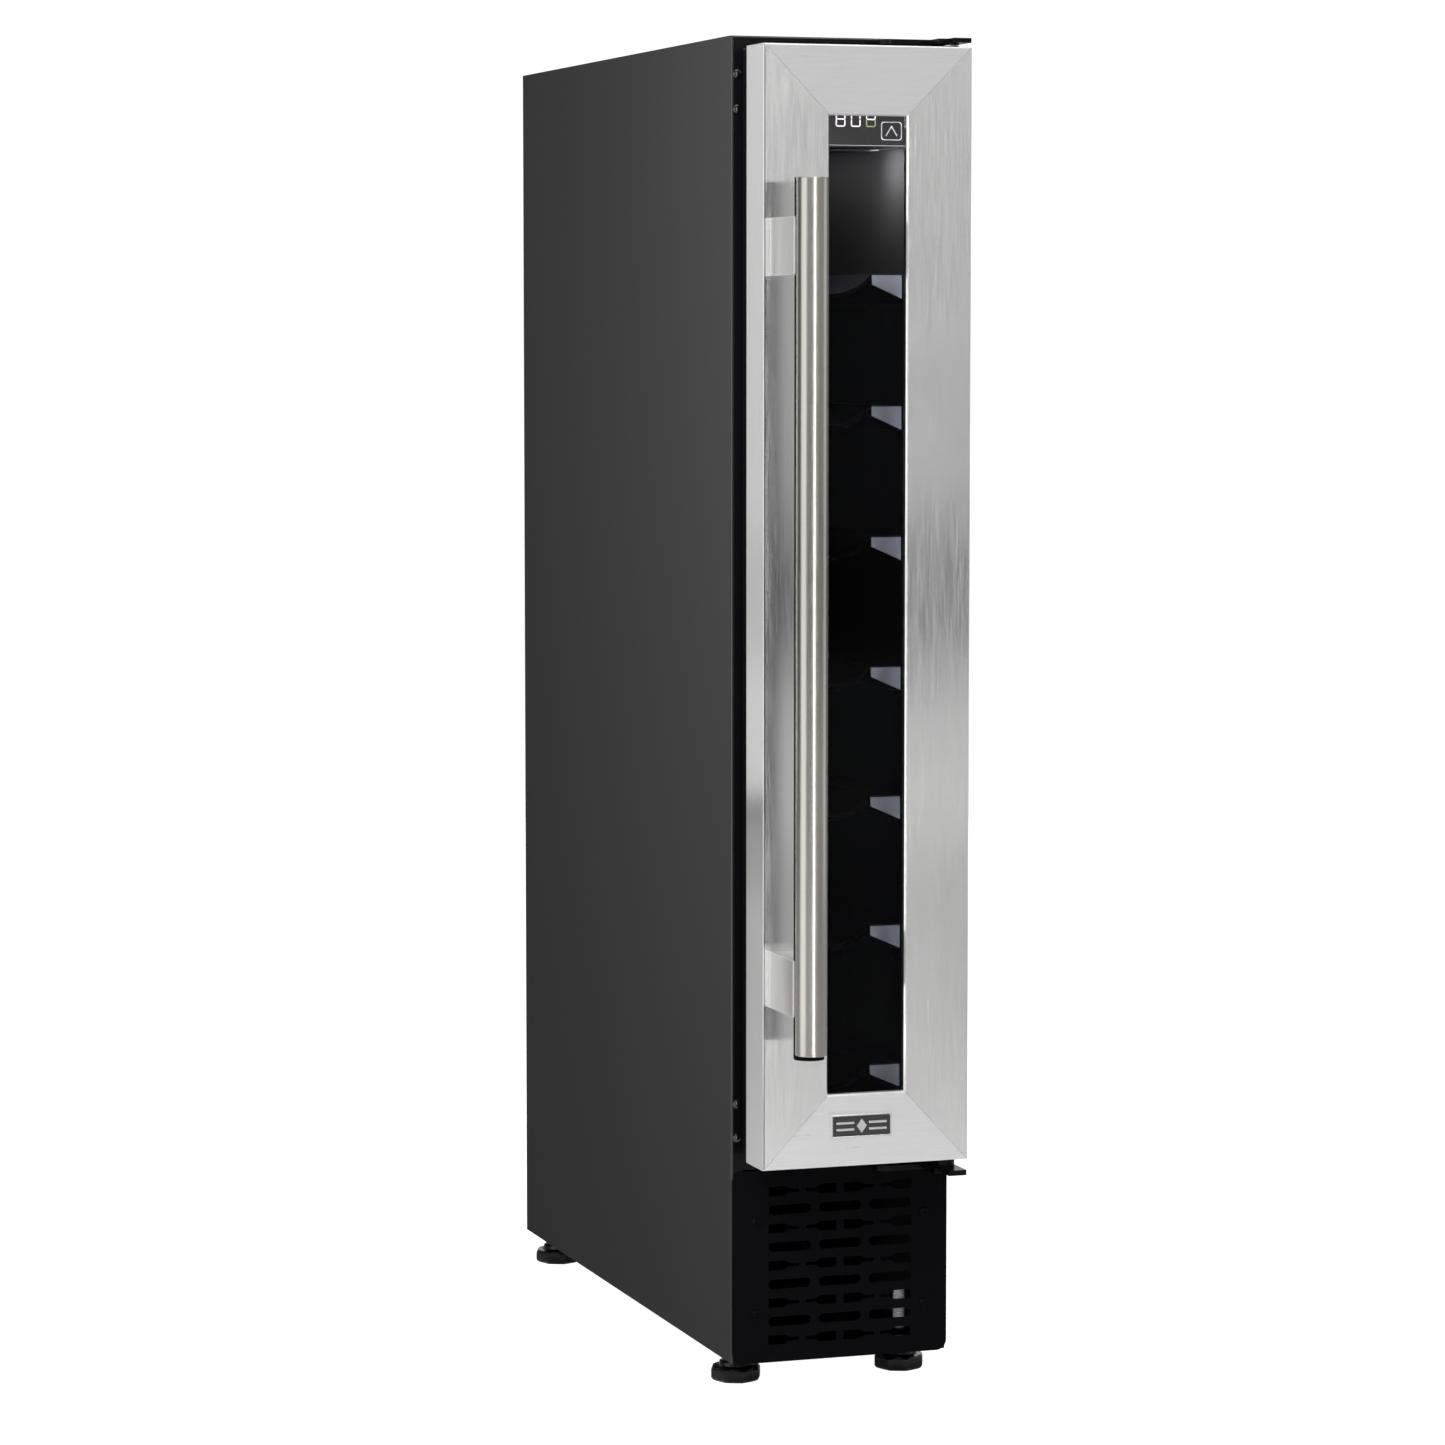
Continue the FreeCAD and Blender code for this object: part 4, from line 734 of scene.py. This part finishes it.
def handle(materials):
    """A tube with sunk black plugs, on two square posts."""
    low, high = BAR_LOW.z, BAR_HIGH.z
    inner = BAR_RADIUS - 1.2 * MM
    rim = 0.35 * MM
    bore = 8 * MM
    outline = [(inner, low + bore), (inner, low + rim), (inner + rim, low)]
    outline += [(BAR_RADIUS - rim, low), (BAR_RADIUS, low + rim)]
    outline += [(BAR_RADIUS, high - rim), (BAR_RADIUS - rim, high), (inner + rim, high)]
    outline += [(inner, high - rim), (inner, high - bore)]
    work = bmesh.new()
    add_lathe(work, outline, (BAR_X, BAR_Y, 0), steps=96)
    # the bar's steel is darker than the door's: painted shade
    settle(
        piece_from("handle_bar_tube", work), "door", "handle_steel", materials["handle_steel"],
        "handle_bar",
    )

    work = bmesh.new()
    sink = 1.4 * MM
    for start, way in ((low + sink, 1), (high - sink, -1)):
        cap = [(0, start), (inner * 0.75, start + way * 0.2 * MM), (inner, start + way * 1.1 * MM)]
        cap += [(inner, start + way * 5 * MM), (0, start + way * 5 * MM)]
        add_lathe(work, cap, (BAR_X, BAR_Y, 0), steps=48)
    settle(
        piece_from("handle_plugs", work), "door", "black_plastic", materials["black_plastic"],
        "handle_end_plugs",
    )

    work = bmesh.new()
    post = 36 * MM
    front = BAR_Y + 6 * MM
    for bottom in (POST_LOW.z, POST_HIGH.z - post):
        corners = (POST_LOW.x, front, bottom), (POST_HIGH.x, DOOR_LOW.y, bottom + post)
        add_box(work, *corners, 0.8 * MM, 3)
    # the posts take a darker copy of the steel: painted shade
    settle(
        piece_from("handle_post_pair", work), "door", "handle_steel", materials["post_steel"],
        "handle_posts",
    )


def badge(materials):
    """A dark plate in a bright rim, with four plain bars and a diamond in place of a mark."""
    low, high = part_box("badge_plate")
    inset = 0.9 * MM
    field = rounded((low.x + inset, low.z + inset), (high.x - inset, high.z - inset), 1.6 * MM)
    work = bmesh.new()
    add_prism(work, field, low.y + 0.25 * MM, high.y)
    settle(
        piece_from("badge_field", work), "door", "badge_metal", materials["badge_metal"],
        "badge_plate",
    )
    work = bmesh.new()
    rim = [(0, high.y), (0, low.y + 0.3 * MM), (0.3 * MM, low.y), (0.8 * MM, low.y)]
    rim += [(1.1 * MM, low.y + 0.3 * MM), (1.1 * MM, high.y)]
    add_frame(work, rim, ((low.x, low.z), (high.x, high.z)))
    middle, level = (low.x + high.x) / 2, (low.z + high.z) / 2
    y = low.y + 0.1 * MM
    thick = 0.8 * MM
    for start, end in ((middle - 17 * MM, middle - 5 * MM), (middle + 5 * MM, middle + 17 * MM)):
        for z in (level - 2.1 * MM, level + 2.1 * MM):
            add_box(work, (start, y, z - thick), (end, high.y, z + thick), 0.25 * MM)
    diamond = [(3.4, 0), (0, 4.6), (-3.4, 0), (0, -4.6)]
    add_prism(work, [(middle + a * MM, level + b * MM) for a, b in diamond], y, high.y)
    settle(piece_from("badge_rim", work), "door", "badge_metal", materials["badge_rim"])


# ---- control face ------------------------------------------------------------------------

SEGMENTS = {
    "a": ((0, 2), (1, 2)), "b": ((1, 1), (1, 2)), "c": ((1, 0), (1, 1)), "d": ((0, 0), (1, 0)),
    "e": ((0, 0), (0, 1)), "f": ((0, 1), (0, 2)), "g": ((0, 1), (1, 1)),
}
DIGITS = {"0": "abcdef", "8": "abcdefg"}
DIGIT_WIDE, LOOP_TALL = 5.8 * MM, 4.5 * MM
DIGIT_STEP = 10.3
STROKE_HALF = 0.4 * MM


def add_segment(work, start, end, y):
    """One bar of a digit: a flat bar with pointed ends."""
    start, end = Vector(start), Vector(end)
    along = (end - start).normalized() * STROKE_HALF
    side = Vector((-along.y, along.x))
    a, b = start + along * 1.2, end - along * 1.2
    tips = [start + along * 0.3, end - along * 0.3]
    outline = [tips[0], a - side, b - side, tips[1], b + side, a + side]
    add_prism(work, outline, y, y + 0.2 * MM)


def digit(name, character, left, low, materials, split=False):
    """A seven-part character; split lights its lower loop in the second colour."""
    parts = {"white": bmesh.new(), "green": bmesh.new()}
    for key in DIGITS[character]:
        start, end = [(left + x * DIGIT_WIDE, low + z * LOOP_TALL) for x, z in SEGMENTS[key]]
        glow = "green" if split and key in "cde" else "white"
        add_segment(parts[glow], start, end, FACE_LOW.y - 0.2 * MM)
    for glow, work in parts.items():
        if work.verts:
            item = piece_from(f"{name}_{glow}", work)
            settle(item, "cabinet", "lamp_lens", materials["digit_" + glow])
        else:
            work.free()


def add_line(work, spots, half, y):
    """A thin raised line through points in X and Z."""
    for start, end in zip(spots, spots[1:]):
        along = (Vector(end) - Vector(start)).normalized() * half
        side = Vector((-along.y, along.x))
        a, b = Vector(start) - along * 0.6, Vector(end) + along * 0.6
        add_prism(work, [a - side, b - side, b + side, a + side], y, y + 0.15 * MM)


def touch_key(work, x, z, way, y):
    """A rounded square with a chevron that points up or down."""
    wide, tall = 6.75 * MM, 5.6 * MM
    ring = rounded((x - wide, z - tall), (x + wide, z + tall), 1.6 * MM, 4)
    add_line(work, ring + ring[:1], 0.26 * MM, y)
    reach, rise = 3.7 * MM, way * 2.9 * MM
    add_line(work, [(x - reach, z - rise), (x, z + rise), (x + reach, z - rise)], 0.36 * MM, y)


def control_face(materials):
    """The display's plate, its three digits, two touch keys and short lines for print."""
    work = bmesh.new()
    add_box(work, FACE_LOW, FACE_HIGH, 0.9 * MM, 3)
    settle(
        piece_from("control_front", work), "cabinet", "display_black", materials["display_black"],
        "control_face",
    )
    base = FACE_LOW.z + 13.1 * MM
    for i, character in enumerate("808"):
        left = (-0.8 + DIGIT_STEP * i) * MM
        digit(f"digit_{i + 1}", character, left, base, materials, split=i == 2)
    y = FACE_LOW.y - 0.15 * MM
    work = bmesh.new()
    for side in (-1, 1):
        touch_key(work, side * 36.8 * MM, FACE_LOW.z + 10.4 * MM, side, y)
        edge = side * 46.4 * MM
        for low, high in ((10.2, 11.4), (12.2, 12.9), (13.8, 17.4)):
            spots = [(edge, FACE_LOW.z + low * MM), (edge, FACE_LOW.z + high * MM)]
            add_line(work, spots, 0.22 * MM, y)
        level = FACE_LOW.z + 19.8 * MM
        add_line(work, [(side * 39.9 * MM, level), (edge, level)], 0.12 * MM, y)
    base = FACE_LOW.z + MM
    add_line(work, [(FACE_LOW.x + MM, base), (FACE_HIGH.x - MM, base)], 0.15 * MM, y)
    settle(piece_from("touch_keys", work), "cabinet", "lamp_lens", materials["icon_print"])


# ---- inside the cabinet ------------------------------------------------------------------


def shelf_trims(materials):
    """Corner trims on the shelf fronts, pale as a painted highlight, each with a darker line above
    it.
    """
    for name in SHELVES:
        low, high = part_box(name)
        for part, look, drop, inner_drop, wall_drop in (
            ("trim", "shelf_trim", 0.9, 6.8, 15.8), ("trim_edge", "trim_edge", 0, 0.9, 0.9),
        ):
            work = bmesh.new()
            for side in (-1, 1):
                wall, inner = side * (high.x - 0.2 * MM), side * 29 * MM
                outline = [
                    (wall, high.z - drop * MM), (inner, high.z - drop * MM),
                    (inner, high.z - inner_drop * MM), (wall, high.z - wall_drop * MM),
                ]
                add_prism(work, outline, low.y - 0.8 * MM, low.y)
            item = piece_from(f"{name}_{part}", work)
            settle(item, "cabinet", "shelf_plastic", materials[look])


def rim_seal(materials):
    """A black bead in the slot between the top's lip and the liner's rim."""
    low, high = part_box("inner_liner")
    overlap = 0.4 * MM
    work = bmesh.new()
    add_box(
        work, (low.x, FRONT + 0.1 * MM, high.z - overlap),
        (high.x, FRONT + 1.3 * MM, CAB_HIGH.z - LIP + overlap), 0.3 * MM,
    )
    item = piece_from("rim_seal", work)
    settle(item, "cabinet", "gasket_rubber", materials["gasket_rubber"])


def inside_light(materials):
    """The lamp's lens, and two light panels in front of it that lean to the right wall."""
    work = bmesh.new()
    add_box(work, LAMP_LOW, LAMP_HIGH, 1.0 * MM, 3)
    item = piece_from("lamp_cover", work)
    settle(item, "cabinet", "lamp_lens", materials["lamp_lens"], "led_lamp")
    across, down = (LAMP_LOW.x + LAMP_HIGH.x) / 2, LAMP_LOW.z - 6 * MM
    lean = 0.7
    for name, back, size, radiance in (
        ("cabinet_lamp", LAMP_LOW.y - 18 * MM, (0.03, 0.012), 800),
        ("cabinet_glow", FRONT + 92 * MM, (0.16, 0.012), 56),
    ):
        target = (across + lean * down, back, 0)
        panel = softbox(name, (across, back, down), target, size, radiance, WARM_WHITE)
        panel.visible_glossy = False


# ---- back --------------------------------------------------------------------------------

SWAGE = 0.8 * MM


def add_swage(work, low, high, y):
    """A field pressed out of a sheet, with sloped sides and round corners."""
    rings = []
    for inset, rise in ((0, 0), (1.4, 0.15), (3.2, 0.85), (4.6, 1.0)):
        shape = rounded(
            (low[0] + inset * MM, low[1] + inset * MM),
            (high[0] - inset * MM, high[1] - inset * MM), (11 - inset) * MM, 6,
        )
        rings.append([work.verts.new((x, y + rise * SWAGE, z)) for x, z in shape])
    for ring, after in zip(rings, rings[1:]):
        join(work, ring, after)
    work.faces.new(rings[-1])


def back_panel(materials):
    """The galvanised back: a sheet with rounded edges and two pressed fields, and its screws."""
    low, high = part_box("rear_panel")
    middle = (low.z + high.z) / 2
    work = bmesh.new()
    add_box(work, low, high, 0.3 * MM)
    for bottom, top in ((low.z + 22 * MM, middle - 9 * MM), (middle + 9 * MM, high.z - 22 * MM)):
        add_swage(work, (low.x + 17 * MM, bottom), (high.x - 17 * MM, top), high.y)
    item = piece_from("rear_panel_sheet", work)
    settle(item, "cabinet", "galvanised", materials["galvanised"], "rear_panel")
    vent_low, vent_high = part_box("rear_vent_cover")
    work = bmesh.new()
    for x in (low.x + 7 * MM, high.x - 7 * MM):
        for z in (
            low.z + 9 * MM, low.z + 175 * MM, middle, high.z - 175 * MM, high.z - 9 * MM,
            vent_low.z + 10 * MM, vent_high.z - 10 * MM,
        ):
            pan_head(work, (x, high.y, z), 3.2 * MM, 1.3 * MM, 1)
    settle(piece_from("back_screws", work), "cabinet", "zinc", materials["zinc"])


# ---- fasteners ---------------------------------------------------------------------------

HINGE_X = 69.7 * MM
PLUG_X = -70 * MM
HINGE_HOLES = (167 * MM, 189 * MM, 824 * MM, 846 * MM)
GRILLE_X, GRILLE_Z = (-58 * MM, 58 * MM), (52 * MM, 112 * MM)
PLUG = ((0, -1.4), (1.4, -1.3), (2.3, -0.9), (2.8, -0.3), (2.8, 0), (0, 0))


def pan_head(work, centre, radius, tall, way=-1):
    """A domed screw head on a face that looks along Y, with a fine cross on it."""
    outline = [(0, way * tall)]
    outline += [
        (radius * math.sin(math.radians(a)), way * tall * math.cos(math.radians(a)) ** 0.6)
        for a in (20, 40, 58, 74, 85)
    ]
    outline += [(radius, way * tall * 0.12), (radius, 0), (0, 0)]
    add_lathe(work, outline, centre, "y", 28)
    x, y, z = centre
    near, far = sorted((y + way * tall * 0.98, y + way * tall * 1.02))
    for across, up in ((0.62 * radius, 0.13 * radius), (0.13 * radius, 0.62 * radius)):
        add_box(work, (x - across, near, z - up), (x + across, far, z + up))


def fasteners(materials):
    """Screw heads of the grille and the hinge, and the plugs of the unused hinge holes."""
    grille_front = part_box("plinth_grille")[0].y
    work = bmesh.new()
    for x in GRILLE_X:
        for z in GRILLE_Z:
            pan_head(work, (x, grille_front, z), 3 * MM, 1.5 * MM)
    for z in HINGE_HOLES:
        pan_head(work, (HINGE_X, FRONT - 2.5 * MM, z), 2.8 * MM, 1.5 * MM)
    settle(
        piece_from("screw_heads", work), "cabinet", "zinc", materials["black_paint"],
        "cabinet_screws",
    )
    work = bmesh.new()
    outline = [(r * MM, y * MM) for r, y in PLUG]
    for z in HINGE_HOLES:
        add_lathe(work, outline, (PLUG_X, FRONT, z), "y", 28)
    settle(
        piece_from("hole_plugs", work), "cabinet", "black_plastic", materials["fold_paint"],
        "hinge_hole_plugs",
    )


def build():
    camera()
    studio()
    floor()
    materials = make_materials()
    dress_cad(materials)
    side_skin(-1, "left_side_panel", materials)
    side_skin(1, "right_side_panel", materials)
    top_skin(materials)
    for name in FEET:
        foot(name, materials)
    door_frame(materials)
    gasket(materials)
    handle(materials)
    badge(materials)
    control_face(materials)
    shelf_trims(materials)
    rim_seal(materials)
    inside_light(materials)
    back_panel(materials)
    fasteners(materials)


build()
